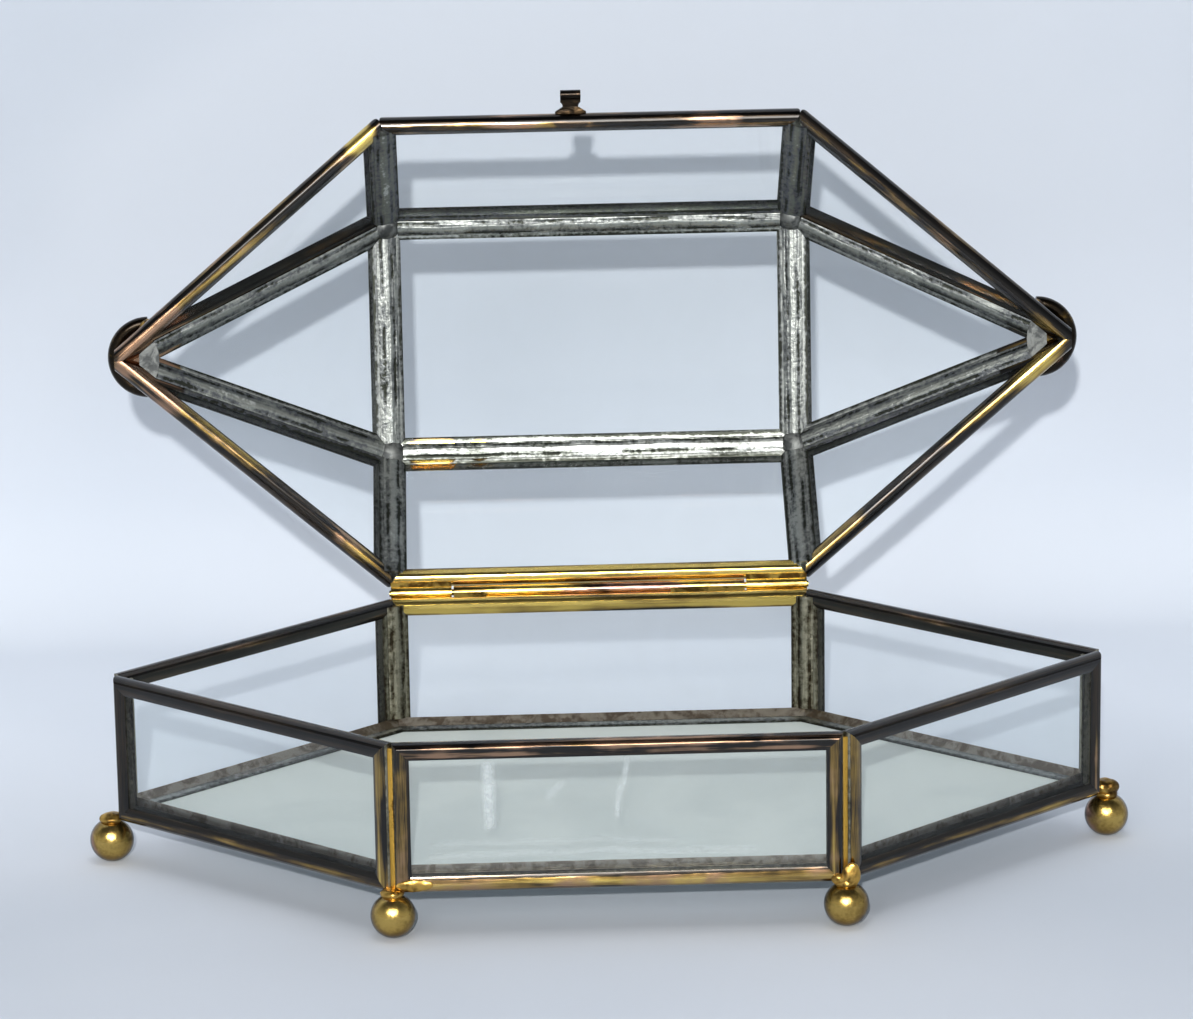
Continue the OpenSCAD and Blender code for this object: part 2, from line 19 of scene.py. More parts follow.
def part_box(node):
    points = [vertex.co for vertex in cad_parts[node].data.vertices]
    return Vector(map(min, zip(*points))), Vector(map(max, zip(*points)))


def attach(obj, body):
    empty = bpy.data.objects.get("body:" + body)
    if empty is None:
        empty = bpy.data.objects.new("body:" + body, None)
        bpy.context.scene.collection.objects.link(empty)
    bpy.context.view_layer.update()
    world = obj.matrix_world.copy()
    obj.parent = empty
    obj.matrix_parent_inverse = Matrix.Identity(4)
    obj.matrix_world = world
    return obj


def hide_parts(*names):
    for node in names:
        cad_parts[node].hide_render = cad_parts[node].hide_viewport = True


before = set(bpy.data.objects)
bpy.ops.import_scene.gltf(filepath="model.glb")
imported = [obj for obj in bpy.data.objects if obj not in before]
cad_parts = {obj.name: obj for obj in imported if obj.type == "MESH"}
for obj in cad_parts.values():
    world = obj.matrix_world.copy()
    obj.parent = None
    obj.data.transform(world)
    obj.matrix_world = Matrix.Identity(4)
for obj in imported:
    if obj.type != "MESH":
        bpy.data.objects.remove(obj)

log = logging.getLogger("casket")

MM = 0.001

Colour = tuple[float, float, float, float]
Material = bpy.types.Material
Node = bpy.types.Node
Piece = bpy.types.Object
Socket = bpy.types.NodeSocket
Triple = tuple[float, float, float]


def srgb(red: int, green: int, blue: int) -> Colour:
    """Turns a colour as it is seen on screen, 0 to 255, into the linear colour that shaders take.

    Args:
        red: Red level.
        green: Green level.
        blue: Blue level.

    Returns:
        Linear red, green and blue, and an alpha of 1.
    """
    levels = [level / 255 for level in (red, green, blue)]
    linear = [v / 12.92 if v <= 0.04045 else ((v + 0.055) / 1.055) ** 2.4 for v in levels]
    return (linear[0], linear[1], linear[2], 1.0)


# Shader maths


def maths(operation: str, swapped: bool = False) -> "Callable[[Value, Value | float], Value]":
    """Makes a method of Value that adds a Math node.

    Args:
        operation: The node's operation.
        swapped: Whether the other operand comes first.

    Returns:
        The method.
    """

    def method(self: "Value", other: "Value | float") -> "Value":
        """Adds the node for self and other."""
        return self.paint.math(operation, *((other, self) if swapped else (self, other)))

    return method


class Value:
    """A number in a material. Python's operators on it add Math nodes to the material."""

    __add__ = maths("ADD")
    __radd__ = maths("ADD", swapped=True)
    __sub__ = maths("SUBTRACT")
    __rsub__ = maths("SUBTRACT", swapped=True)
    __mul__ = maths("MULTIPLY")
    __rmul__ = maths("MULTIPLY", swapped=True)
    __pow__ = maths("POWER")
    __gt__ = maths("GREATER_THAN")
    at_most = maths("MINIMUM")
    at_least = maths("MAXIMUM")

    def __init__(self, paint: "Paint", socket: Socket) -> None:
        """Wraps a number socket of the material that paint builds."""
        self.paint = paint
        self.socket = socket

    def __neg__(self) -> "Value":
        """0 - self."""
        return self.paint.math("SUBTRACT", 0.0, self)

    def __abs__(self) -> "Value":
        """The size of self, without its sign."""
        return self.paint.math("ABSOLUTE", self)

    def step(self, low: float, high: float) -> "Value":
        """Rises smoothly from 0 to 1 as self goes from low to high.

        Args:
            low: Where the rise starts. It may be more than high for a fall.
            high: Where the rise ends.

        Returns:
            The smooth step, between 0 and 1.
        """
        if low > high:
            return 1.0 - self.step(high, low)
        node = self.paint.node(
            "ShaderNodeMapRange",
            {"interpolation_type": "SMOOTHSTEP"},
            {"Value": self, "From Min": low, "From Max": high},
        )
        return Value(self.paint, node.outputs["Result"])

    def swing(self, weight: float) -> "Value":
        """Takes self about its middle of 0.5, times a weight."""
        return (self - 0.5) * weight

    def towards(self, target: "Value | float", amount: "Value | float") -> "Value":
        """Goes from self to target by an amount from 0 to 1."""
        return self + (target - self) * amount


class Paint:
    """One material, or the room's light, while it is mixed."""

    def __init__(self, name: str, world: bool = False) -> None:
        """Starts a material without nodes.

        Args:
            name: Its name.
            world: Whether it is the world instead.
        """
        self.end = "ShaderNodeOutputWorld" if world else "ShaderNodeOutputMaterial"
        self.made = (bpy.data.worlds if world else bpy.data.materials).new(name)
        self.made.use_nodes = True
        self.tree = self.made.node_tree
        self.tree.nodes.clear()

    def node(
        self,
        kind: str,
        settings: dict[str, object] | None = None,
        sockets: dict[str | int, object] | None = None,
    ) -> Node:
        """Adds one node.

        Args:
            kind: Blender's name of the node type.
            settings: Its properties, such as an operation. They are set first.
            sockets: Values or links of its input sockets, by name or index.

        Returns:
            The node.
        """
        made = self.tree.nodes.new(kind)
        for name, setting in (settings or {}).items():
            setattr(made, name, setting)
        for key, value in (sockets or {}).items():
            socket = made.inputs[key]
            if isinstance(value, Value):
                self.tree.links.new(value.socket, socket)
            elif isinstance(value, Socket):
                self.tree.links.new(value, socket)
            else:
                socket.default_value = value
        return made

    def math(self, operation: str, *operands: "Value | float") -> Value:
        """Adds a Math node.

        Args:
            operation: The node's operation.
            operands: Its inputs in order.

        Returns:
            Its result.
        """
        made = self.node("ShaderNodeMath", {"operation": operation}, dict(enumerate(operands)))
        return Value(self, made.outputs[0])

    def vector_math(self, operation: str, *operands: object) -> Node:
        """Adds a Vector Math node.

        Args:
            operation: The node's operation.
            operands: Its inputs in order: links, or three numbers each.

        Returns:
            The node.
        """
        inputs = [o if isinstance(o, Socket) else tuple(map(float, o)) for o in operands]
        return self.node("ShaderNodeVectorMath", {"operation": operation}, dict(enumerate(inputs)))

    def place(self) -> Socket:
        """Where a point is on the object, in millimetres."""
        point = self.node("ShaderNodeTexCoord").outputs["Object"]
        return self.vector_math("MULTIPLY", point, (1 / MM, 1 / MM, 1 / MM)).outputs[0]

    def distance_from(
        self, place: Socket, point: Sequence[float], direction: Sequence[float]
    ) -> Value:
        """How far a place lies from a plane.

        Args:
            place: The place, in millimetres.
            point: A point on the plane, in millimetres.
            direction: The plane's unit normal.

        Returns:
            The signed distance along direction, in millimetres.
        """
        made = self.vector_math("DOT_PRODUCT", place, direction)
        return Value(self, made.outputs["Value"]) - float(np.dot(point, direction))

    def vector(self, *numbers: "Value | float") -> Socket:
        """Joins three numbers into a vector."""
        return self.node("ShaderNodeCombineXYZ", None, dict(enumerate(numbers))).outputs[0]

    def noise(
        self,
        vector: Socket,
        per_mm: float = 1.0,
        detail: float = 3.0,
        roughness: float = 0.55,
        distortion: float = 0.0,
    ) -> Value:
        """Cloudy noise.

        Args:
            vector: Where to read it, in millimetres.
            per_mm: How many clouds there are in a millimetre.
            detail: How many finer layers it has.
            roughness: How strong the finer layers are.
            distortion: How much it is stirred.

        Returns:
            The noise, mostly between 0.3 and 0.7.
        """
        sockets = {"Vector": vector, "Scale": per_mm, "Detail": detail}
        sockets |= {"Roughness": roughness, "Distortion": distortion}
        return Value(self, self.node("ShaderNodeTexNoise", None, sockets).outputs[0])

    def blend(self, amount: "Value | float", first: object, second: object) -> Socket:
        """Mixes two colours.

        Args:
            amount: 0 gives first and 1 gives second.
            first: A colour or a colour socket.
            second: A colour or a colour socket.

        Returns:
            The mixed colour.
        """
        made = self.node("ShaderNodeMix", {"data_type": "RGBA"}, {0: amount, 6: first, 7: second})
        return made.outputs[2]

    def bump(self, height: Value, depth: float, strength: float = 1.0) -> Socket:
        """Turns a height from 0 to 1 into a normal.

        Args:
            height: The height.
            depth: How deep a height of 1 is, in millimetres.
            strength: How strongly it shows.

        Returns:
            The normal.
        """
        sockets = {"Height": height, "Distance": depth * MM, "Strength": strength}
        return self.node("ShaderNodeBump", None, sockets).outputs[0]

    def facing(self) -> Value:
        """0 where the surface faces the eye and 1 at its outline."""
        weight = self.node("ShaderNodeLayerWeight", None, {"Blend": 0.5})
        return Value(self, weight.outputs["Facing"])

    def mix_shaders(self, amount: Value, first: Node, second: Node) -> Node:
        """Mixes two shader nodes: an amount of 0 gives first and 1 gives second."""
        sockets = {0: amount, 1: first.outputs[0], 2: second.outputs[0]}
        return self.node("ShaderNodeMixShader", None, sockets)

    def metal(
        self,
        colour: Socket,
        roughness: Value,
        normal: Socket,
        coat: dict[str, object] | None = None,
    ) -> Material:
        """Finishes the material as metal.

        Args:
            colour: Its colour.
            roughness: Its roughness.
            normal: Its bumped normal.
            coat: Values or links of the shader's coat sockets, by name.

        Returns:
            The material.
        """
        sockets = {"Base Color": colour, "Metallic": 1.0, "Roughness": roughness, "Normal": normal}
        return self.finish(self.node("ShaderNodeBsdfPrincipled", None, sockets | (coat or {})))

    def finish(self, shader: Node) -> "Material | bpy.types.World":
        """Sends a shader node to the surface and returns what was made."""
        self.node(self.end, None, {"Surface": shader.outputs[0]})
        return self.made


# Shapes that the finishes follow


@dataclass(frozen=True)
class Wear:
    """How a bar of came has aged, each value from 0 to 1.

    Fields:
        shine: How much of its face is rubbed bright.
        warm: 0 is yellow brass, 1 is copper.
        tin: How much of its inner face is tinned.
        dull: 0 is bright tin, 1 is dark slate.
    """

    shine: float
    warm: float = 0.2
    tin: float = 1.0
    dull: float = 0.4


class Tone(Enum):
    """Ages of brass that the box shows, with some painted light: BLACK is in part painted dark
    reflection, and HIGHLIT_TIN a painted highlight.
    """

    YELLOW = Wear(shine=0.95, warm=0.0, tin=0.0)
    GOLD = Wear(shine=0.5, warm=0.2, tin=1.0)
    OLIVE = Wear(shine=0.5, warm=0.15, tin=0.7, dull=0.5)
    RIM_GOLD = Wear(shine=0.52, warm=0.4, tin=0.0)
    RIM_OLIVE = Wear(shine=0.38, warm=0.35, tin=0.0)
    RIM_BROWN = Wear(shine=0.36, warm=0.45, tin=0.0)
    COPPER = Wear(shine=0.62, warm=0.6, tin=0.6, dull=0.3)
    PLUM = Wear(shine=0.42, warm=0.9, tin=0.1, dull=0.6)
    UMBER = Wear(shine=0.34, warm=0.6, tin=0.1, dull=0.6)
    BROWN = Wear(shine=0.4, warm=0.45, tin=0.8, dull=0.5)
    SMOKED = Wear(shine=0.22, warm=0.3, tin=0.2, dull=0.7)
    # Nearly black brass: patina, and in part painted dark reflection of the room overhead.
    BLACK = Wear(shine=0.0, warm=0.3, tin=0.0, dull=0.9)
    TIP = Wear(shine=0.1, warm=0.3, tin=1.0, dull=0.25)
    TINNED = Wear(shine=0.3, warm=0.2, tin=1.0, dull=0.55)
    # Tin painted with a highlight, where the lid's top meets its front.
    HIGHLIT_TIN = Wear(shine=0.3, warm=0.2, tin=1.0, dull=0.05)
    SLATE = Wear(shine=0.25, warm=0.3, tin=1.0, dull=0.95)


@dataclass(frozen=True)
class Bar:
    """One straight bar of a came frame."""

    start: np.ndarray
    along: np.ndarray
    inward: np.ndarray
    length: float
    wear: Wear


ToneRule = Callable[[np.ndarray, np.ndarray], Tone]


@dataclass(frozen=True)
class Facet:
    """The plane of a pane and the bars of its came, read from the came's mesh."""

    centre: np.ndarray
    normal: np.ndarray
    bars: tuple[Bar, ...]

    shortest_bar = 8.0
    straight_enough = 0.02
    level_enough = 0.9

    @classmethod
    def measure(cls, node: Piece, inside: np.ndarray, tone: ToneRule) -> "Facet":
        """Reads a facet from a flat frame.

        Args:
            node: The frame's object.
            inside: A point on the inner side of the frame, in millimetres.
            tone: Gives a bar's tone from its middle and its direction.

        Returns:
            The facet, whose normal points away from inside.
        """
        points = np.array([v.co for v in node.data.vertices], float) / MM
        middle = (points.min(0) + points.max(0)) / 2
        normal = np.linalg.svd(points - points.mean(0), full_matrices=False)[2][2]
        if np.dot(normal, middle - inside) < 0:
            normal = -normal
        upright = abs(normal[2]) < cls.level_enough
        side = np.cross(normal, [0.0, 0.0, 1.0] if upright else [0.0, 1.0, 0.0])
        side /= np.linalg.norm(side)
        up = np.cross(normal, side)
        level = ((points @ normal).min() + (points @ normal).max()) / 2
        centre = middle + normal * (level - middle @ normal)
        flat = np.stack([(points - centre) @ side, (points - centre) @ up], axis=1)
        corners = cls.hull(flat)
        bars = []
        for first, second in zip(corners, corners[1:] + corners[:1]):
            run = np.array(second) - np.array(first)
            length = float(np.linalg.norm(run))
            if length < cls.shortest_bar:
                continue
            run /= length
            start = centre + side * first[0] + up * first[1]
            along = side * run[0] + up * run[1]
            inward = np.cross(normal, along)
            chosen = tone(start + along * length / 2, along).value
            bars.append(Bar(start, along, inward, length, chosen))
        return cls(centre, normal, tuple(bars))

    @classmethod
    def hull(cls, points: np.ndarray) -> list[tuple[float, float]]:
        """Finds the corners of the polygon round flat points.

        Args:
            points: The points, two numbers each.

        Returns:
            The corners, counterclockwise, without those where the outline hardly turns.
        """
        ordered = sorted(set(map(tuple, np.round(points, 3))))

        def chain(run: list[tuple[float, float]]) -> list[tuple[float, float]]:
            """Walks one side of the outline."""
            kept: list[tuple[float, float]] = []
            for p in run:
                while len(kept) > 1 and (
                    (kept[-1][0] - kept[-2][0]) * (p[1] - kept[-2][1])
                    - (kept[-1][1] - kept[-2][1]) * (p[0] - kept[-2][0])
                ) <= cls.straight_enough:
                    kept.pop()
                kept.append(p)
            return kept[:-1]

        return chain(ordered) + chain(ordered[::-1])


@dataclass(frozen=True)
class Seam:
    """The line where two cames meet."""

    start: np.ndarray
    along: np.ndarray
    across: np.ndarray
    length: float
    dull: float

    widest_gap = 6.0

    @classmethod
    def between(cls, facets: Sequence[Facet]) -> list["Seam"]:
        """Finds every seam of a shell.

        Args:
            facets: The shell's facets.

        Returns:
            One seam for each pair of bars that run side by side.
        """
        seams = []
        for number, one in enumerate(facets):
            for other in facets[number + 1 :]:
                for a in one.bars:
                    for b in other.bars:
                        start = (a.start + b.start + b.along * b.length) / 2
                        end = (a.start + a.along * a.length + b.start) / 2
                        apart = max(
                            np.linalg.norm(a.start - b.start - b.along * b.length),
                            np.linalg.norm(a.start + a.along * a.length - b.start),
                        )
                        if apart > cls.widest_gap:
                            continue
                        length = float(np.linalg.norm(end - start))
                        along = (end - start) / length
                        across = np.cross(along, one.normal + other.normal)
                        across /= np.linalg.norm(across)
                        dull = (a.wear.dull + b.wear.dull) / 2
                        seams.append(cls(start, along, across, length, dull))
        return seams


# Finishes


@dataclass(frozen=True)
class Patch:
    """A place on a came where the patina is rubbed off, has gone copper red, or is darker; the dark
    patch under the lid's tab is painted shade.
    """

    place: Triple
    radius: float
    shine: float
    warm: float = 0.0
    core: float = 0.45

    def mask(self, paint: Paint, place: Socket) -> Value:
        """Draws the patch.

        Args:
            paint: The material.
            place: The point's place.

        Returns:
            1 in the middle of the place and 0 outside it.
        """
        away = paint.vector_math("DISTANCE", place, self.place)
        return Value(paint, away.outputs["Value"]).step(self.radius, self.radius * self.core)

    def reaches(self, low: Vector, high: Vector) -> bool:
        """Whether the place touches a box, given by two corners in metres."""
        ends = zip(self.place, low / MM, high / MM)
        return all(a - self.radius < at < b + self.radius for at, a, b in ends)


@dataclass(frozen=True)
class TinColours:
    """Colours of old tin solder."""

    bright: Colour = srgb(240, 243, 241)
    light: Colour = srgb(188, 191, 187)
    dark: Colour = srgb(116, 119, 112)
    slate: Colour = srgb(94, 96, 102)
    pit: Colour = srgb(52, 54, 48)

    def mix(self, paint: Paint, level: Value, dull: "Value | float") -> Socket:
        """Mixes tin.

        Args:
            paint: The material.
            level: From 0, the darkest, as in a pit or painted shade, to 1, the brightest, as on a
                crest or a painted highlight.
            dull: From 0, bright, to 1, dark slate.

        Returns:
            The colour.
        """
        low = paint.blend(level.step(0.12, 0.3), self.pit, paint.blend(dull, self.dark, self.slate))
        high = paint.blend(dull, self.light, self.dark)
        body = paint.blend(level.step(0.3, 0.62), low, high)
        crest = paint.blend(level.step(0.72, 0.95), body, self.light)
        # The brightest tin shows where dull is low; on HIGHLIT_TIN bars it is a painted highlight.
        return paint.blend(level.step(0.9, 1.25) * (1.0 - dull), crest, self.bright)


@dataclass(frozen=True)
class CameFinish:
    """Brass came with a dark patina, rubbed bright along its back and tinned inside; painted shade
    darkens it towards its lip and its back edge.
    """

    face_width: float = 3.0
    lip_width: float = 0.8
    lip_depth: float = 1.02
    edge: tuple[float, float] = (0.05, 0.5)
    noise_shift: float = 97.0
    brass_roughness: float = 0.14
    tin_roughness: float = 0.42
    brass_coat: float = 0.5
    tin_coat: float = 0.04
    relief: float = 0.14
    gold: Colour = srgb(228, 196, 102)
    bronze: Colour = srgb(140, 112, 54)
    copper: Colour = srgb(166, 130, 102)
    umber: Colour = srgb(62, 48, 32)
    black: Colour = srgb(24, 21, 18)
    tin: TinColours = TinColours()

    def nearest(
        self, paint: Paint, place: Socket, facet: Facet
    ) -> tuple[Value, Value, dict[str, "Value | float"]]:
        """Follows the bar that is nearest to each point.

        Args:
            paint: The material.
            place: The point's place.
            facet: The frame's bars.

        Returns:
            The distance from the frame's outer edge, the distance along the bar, and the
            bar's wear by name.
        """
        across, along, wear = None, None, {}
        for number, bar in enumerate(facet.bars):
            here = paint.distance_from(place, bar.start, bar.inward)
            run = paint.distance_from(place, bar.start, bar.along) + self.noise_shift * number
            if across is None:
                across, along, wear = here, run, dict(vars(bar.wear))
                continue
            closer = across > here
            across = across.at_most(here)
            along = along.towards(run, closer)
            for name, value in vars(bar.wear).items():
                if isinstance(wear[name], Value) or wear[name] != value:
                    wear[name] = (value - wear[name]) * closer + wear[name]
        return across, along, wear

    def mix(self, name: str, facet: Facet, patches: Sequence[Patch] = ()) -> Material:
        """Mixes the came's material for one frame.

        Args:
            name: The material's name.
            facet: The frame that it dresses.
            patches: Places that differ from their bar's wear; the one under the lid's tab is
                painted shade.

        Returns:
            The material.
        """
        paint = Paint(name)
        place = paint.place()
        across, along, wear = self.nearest(paint, place, facet)
        depth = paint.distance_from(place, facet.centre, facet.normal)
        wander = paint.noise(paint.vector(along * 0.05, 3.0, 0.0), detail=2.0)
        stripes = paint.vector(across * 0.9, along * 0.035, depth * 0.9)
        streak = paint.noise(stripes, distortion=0.3)
        drawn = paint.noise(paint.vector(across * 6.0, along * 0.25, depth * 6.0), detail=2.0)
        blotch = paint.noise(place, 0.09)
        fine = paint.noise(place, 1.1, detail=4.0, roughness=0.6)

        # lip and edge darken the face towards its lip and its back edge: patina in those hollows,
        # and painted shade.
        lip = across.step(self.face_width, self.face_width - self.lip_width)
        edge = across.step(*self.edge)
        polish_and_shade = wear["shine"] + streak.swing(1.5) + blotch.swing(0.9) + drawn.swing(0.3)
        polish_and_shade = polish_and_shade + wander.swing(0.5) - (1.0 - lip) * 0.5 - (1.0 - edge) * 0.22
        warmth = wear["warm"] + blotch.swing(2.4) + wander.swing(1.2)
        in_patch: "Value | float" = 0.0
        for patch in patches:
            mask = patch.mask(paint, place)
            polish_and_shade = polish_and_shade + mask * patch.shine
            warmth = warmth + mask * patch.warm
            in_patch = mask + in_patch
        brass = paint.blend(polish_and_shade.step(0.5, 0.95), self.bronze, self.gold)
        metal = paint.blend(warmth.step(0.45, 0.95), brass, self.copper)
        patina = paint.blend((streak + drawn.swing(0.4)).step(0.42, 0.68), self.black, self.umber)
        outer = paint.blend(polish_and_shade.step(0.28, 0.58), patina, metal)

        level = 0.5 + streak.swing(0.9) + drawn.swing(0.5) + fine.swing(1.0)
        # The tin also darkens towards the lip: painted shade.
        level = level + blotch.swing(0.6) - (1.0 - lip) * 0.4
        tinned = self.tin.mix(paint, level, wear["dull"])
        inner_side = depth.step(self.lip_depth + 0.06, self.lip_depth - 0.02)
        wetted = ((wear["tin"] + streak.swing(0.6)) * inner_side * (1.0 - in_patch)).step(0.35, 0.6)
        colour = paint.blend(wetted, outer, tinned)

        rough = (self.brass_roughness + fine * 0.12).towards(self.tin_roughness, wetted)
        height = drawn * 0.15 + blotch * 1.0 + streak * (0.3 + wetted * 0.2) + fine * 0.4 * wetted
        varnish = self.brass_coat - wetted * (self.brass_coat - self.tin_coat)
        coat = {"Coat Weight": varnish, "Coat Roughness": 0.08, "Coat IOR": 1.7}
        return paint.metal(colour, rough, paint.bump(height, self.relief, 0.7), coat)


@dataclass(frozen=True)
class SeamSolderFinish:
    """Tin solder that was drawn along the seams: ridges and grooves, gilded on the outside. Its
    crest carries a painted highlight and its grooves painted shade.
    """

    tin: TinColours = TinColours()
    gilt: Colour = srgb(198, 156, 70)
    gilt_dark: Colour = srgb(84, 60, 28)
    crest_half: float = 0.75
    groove_place: float = 1.05
    groove_half: float = 0.4
    noise_shift: float = 83.0
    roughness: float = 0.34
    relief: float = 0.28
    outside_from: float = -1.0
    outside_to: float = -0.4

    def nearest(
        self, paint: Paint, place: Socket, seams: Sequence[Seam]
    ) -> tuple[Value, Value, "Value | float"]:
        """Follows the seam that is nearest to each point.

        Args:
            paint: The material.
            place: The point's place.
            seams: The seams.

        Returns:
            The signed distance across the seam, the distance along it, and its dullness.
        """
        best, across, along, dull = None, None, None, None
        for number, seam in enumerate(seams):
            away = paint.vector_math("SUBTRACT", place, seam.start).outputs[0]
            turned = paint.vector_math("CROSS_PRODUCT", away, seam.along).outputs[0]
            off = Value(paint, paint.vector_math("LENGTH", turned).outputs["Value"])
            run = paint.distance_from(place, seam.start, seam.along)
            past = (-run).at_least(run - seam.length).at_least(0.0)
            here = off + past
            wide = paint.distance_from(place, seam.start, seam.across)
            run = run + self.noise_shift * number
            if best is None:
                best, across, along, dull = here, wide, run, seam.dull
                continue
            closer = best > here
            best = best.at_most(here)
            across = across.towards(wide, closer)
            along = along.towards(run, closer)
            dull = (seam.dull - dull) * closer + dull
        return across, along, dull

    def mix(self, name: str, facets: Sequence[Facet]) -> Material:
        """Mixes the solder's material.

        Args:
            name: The material's name.
            facets: The shell that it joins. Outside its facets the solder is gilded.

        Returns:
            The material.
        """
        paint = Paint(name)
        place = paint.place()
        across, along, dull = self.nearest(paint, place, Seam.between(facets))
        wobble = paint.noise(paint.vector(along * 0.07, 7.0, 0.0), detail=2.0)
        across = across + wobble.swing(0.9)
        stripes = paint.vector(across * 0.9, along * 0.09, 0.0)
        streak = paint.noise(stripes, detail=4.0, roughness=0.6, distortion=0.4)
        fine = paint.noise(place, 1.2, detail=4.0, roughness=0.6)
        blotch = paint.noise(place, 0.14)
        crest = abs(across).step(self.crest_half, self.crest_half / 3)
        groove = abs(abs(across) - self.groove_place).step(self.groove_half, self.groove_half / 4)
        broken = paint.noise(paint.vector(along * 0.12, across * 0.2, 0.0), detail=2.0)
        broken = broken.step(0.35, 0.6)
        # Painted highlight along the crest and painted shade in the grooves beside it; the relief
        # below has the same crest and grooves.
        level = 0.46 + crest * 0.16 - groove * broken * 0.36
        level = level + streak.swing(0.6) + fine.swing(1.1) + blotch.swing(1.0)
        grey = self.tin.mix(paint, level, dull)
        gold = paint.blend((level + 0.15).step(0.3, 0.65), self.gilt_dark, self.gilt)
        outside = None
        for facet in facets:
            here = paint.distance_from(place, facet.centre, facet.normal)
            outside = here if outside is None else outside.at_least(here)
        colour = paint.blend(outside.step(self.outside_from, self.outside_to), grey, gold)
        height = crest * 0.5 - groove * broken * 0.5 + streak * 0.5 + fine * 0.6
        normal = paint.bump(height, self.relief, 0.9)
        return paint.metal(colour, self.roughness + fine * 0.14, normal)


@dataclass(frozen=True)
class BlobSolderFinish:
    """Tin solder in lumps: soft crests and dark pits, or the same under brass gilding."""

    light: Colour = srgb(158, 161, 153)
    dark: Colour = srgb(64, 68, 60)
    lump: float = 0.3
    grain: float = 0.35
    roughness: float = 0.26

    def mix(self, name: str) -> Material:
        """Mixes the solder's material.

        Args:
            name: The material's name.

        Returns:
            The material.
        """
        paint = Paint(name)
        place = paint.place()
        lumps = paint.noise(place, self.grain, distortion=0.8)
        fine = paint.noise(place, self.grain * 4.0, detail=4.0, roughness=0.6)
        level = lumps.swing(2.0) + fine.swing(0.7) + 0.5
        colour = paint.blend(level.step(0.25, 0.7), self.dark, self.light)
        normal = paint.bump(lumps + fine * 0.15, self.lump, 0.8)
        return paint.metal(colour, self.roughness + fine * 0.16, normal)


@dataclass(frozen=True)
class TurnedBrassFinish:
    """Antique brass of the balls, rods, tubes and strip, with dark clouds and rubbed places, and,
    where edge is set, painted shade towards the outline.
    """

    gold: Colour = srgb(198, 168, 92)
    bronze: Colour = srgb(130, 104, 52)
    dark: Colour = srgb(34, 27, 18)
    copper: Colour = srgb(160, 122, 104)
    shine: float = 0.6
    pink: float = 0.0
    cloud: float = 0.3
    contrast: float = 1.6
    stretch: Triple = (1.0, 1.0, 1.0)
    roughness: float = 0.16
    edge: float = 0.0
    relief: float = 0.14

    def mix(self, name: str) -> Material:
        """Mixes the material.

        Args:
            name: The material's name.

        Returns:
            The material.
        """
        paint = Paint(name)
        place = paint.vector_math("MULTIPLY", paint.place(), self.stretch).outputs[0]
        cloud = paint.noise(place, self.cloud, distortion=0.3)
        fine = paint.noise(place, 1.6)
        blush = paint.noise(place, self.cloud * 0.6, detail=2.0, roughness=0.5, distortion=0.5)
        polish_and_shade = self.shine + (cloud - 0.5) * self.contrast + fine.swing(0.4)
        # Painted shade: darker towards the outline as the camera sees it.
        polish_and_shade = polish_and_shade - paint.facing() ** 2.0 * self.edge
        metal = paint.blend(polish_and_shade.step(0.45, 0.9), self.bronze, self.gold)
        metal = paint.blend((blush - 0.6 + self.pink).step(0.0, 0.12), metal, self.copper)
        colour = paint.blend(polish_and_shade.step(0.1, 0.45), self.dark, metal)
        normal = paint.bump(cloud + fine * 0.25, self.relief, 0.7)
        coat = {"Coat Weight": 0.2, "Coat Roughness": 0.1}
        return paint.metal(colour, self.roughness + fine * 0.14, normal, coat)


@dataclass(frozen=True)
class PaintedReflection:
    """A painted reflection on a pane: a soft pale streak between two points."""

    start: Triple
    end: Triple
    width: float
    strength: float


@dataclass(frozen=True)
class ClearGlass:
    """Clear sheet glass with a faint green grey tint and dust; on the front pane, soft pale streaks
    of painted reflection.
    """

    tint: Colour = srgb(253, 254, 254)
    dust_and_reflection_colour: Colour = srgb(214, 221, 222)
    haze: float = 0.01
    mirror: float = 0.02
    rim_mirror: float = 0.6
    sheen: Colour = (1.0, 1.0, 1.0, 1.0)
    roughness: float = 0.015
    painted_reflections: tuple[PaintedReflection, ...] = ()

    def mix(self, name: str) -> Material:
        """Mixes the glass.

        Args:
            name: The material's name.

        Returns:
            The material.
        """
        paint = Paint(name)
        place = paint.place()
        fine = paint.noise(place, 0.7, detail=5.0, roughness=0.7)
        wipe = paint.noise(place, 0.05, roughness=0.5, distortion=1.5)
        dust_and_reflections = self.haze + (wipe - 0.4).at_least(0.0) * 0.1 * fine
        # Pale streaks of painted reflection join the dust layer.
        for painted_reflection in self.painted_reflections:
            start = np.array(painted_reflection.start)
            run = np.array(painted_reflection.end) - start
            length = float(np.linalg.norm(run))
            run /= length
            aside = np.cross(run, [0.0, 1.0, 0.0])
            along = paint.distance_from(place, start, run)
            away = abs(paint.distance_from(place, start, aside) + wipe.swing(3.0))
            reflection_mask = away.step(painted_reflection.width, 0.0)
            reflection_mask = reflection_mask * along.step(-1.0, 1.5) * along.step(length + 1.0, length - 1.0)
            dust_and_reflections = dust_and_reflections + reflection_mask * (fine * 1.4 - 0.2).at_least(0.0) * painted_reflection.strength
        mirror = self.mirror + (paint.facing() ** 5.0) * self.rim_mirror
        through = paint.node("ShaderNodeBsdfTransparent", None, {"Color": self.tint})
        sheen = {"Color": self.sheen, "Roughness": self.roughness}
        gloss = paint.node("ShaderNodeBsdfGlossy", None, sheen)
        clear = paint.mix_shaders(mirror, through, gloss)
        dust_and_reflection_layer = paint.node("ShaderNodeBsdfDiffuse", None, {"Color": self.dust_and_reflection_colour})
        return paint.finish(paint.mix_shaders(dust_and_reflections, clear, dust_and_reflection_layer))


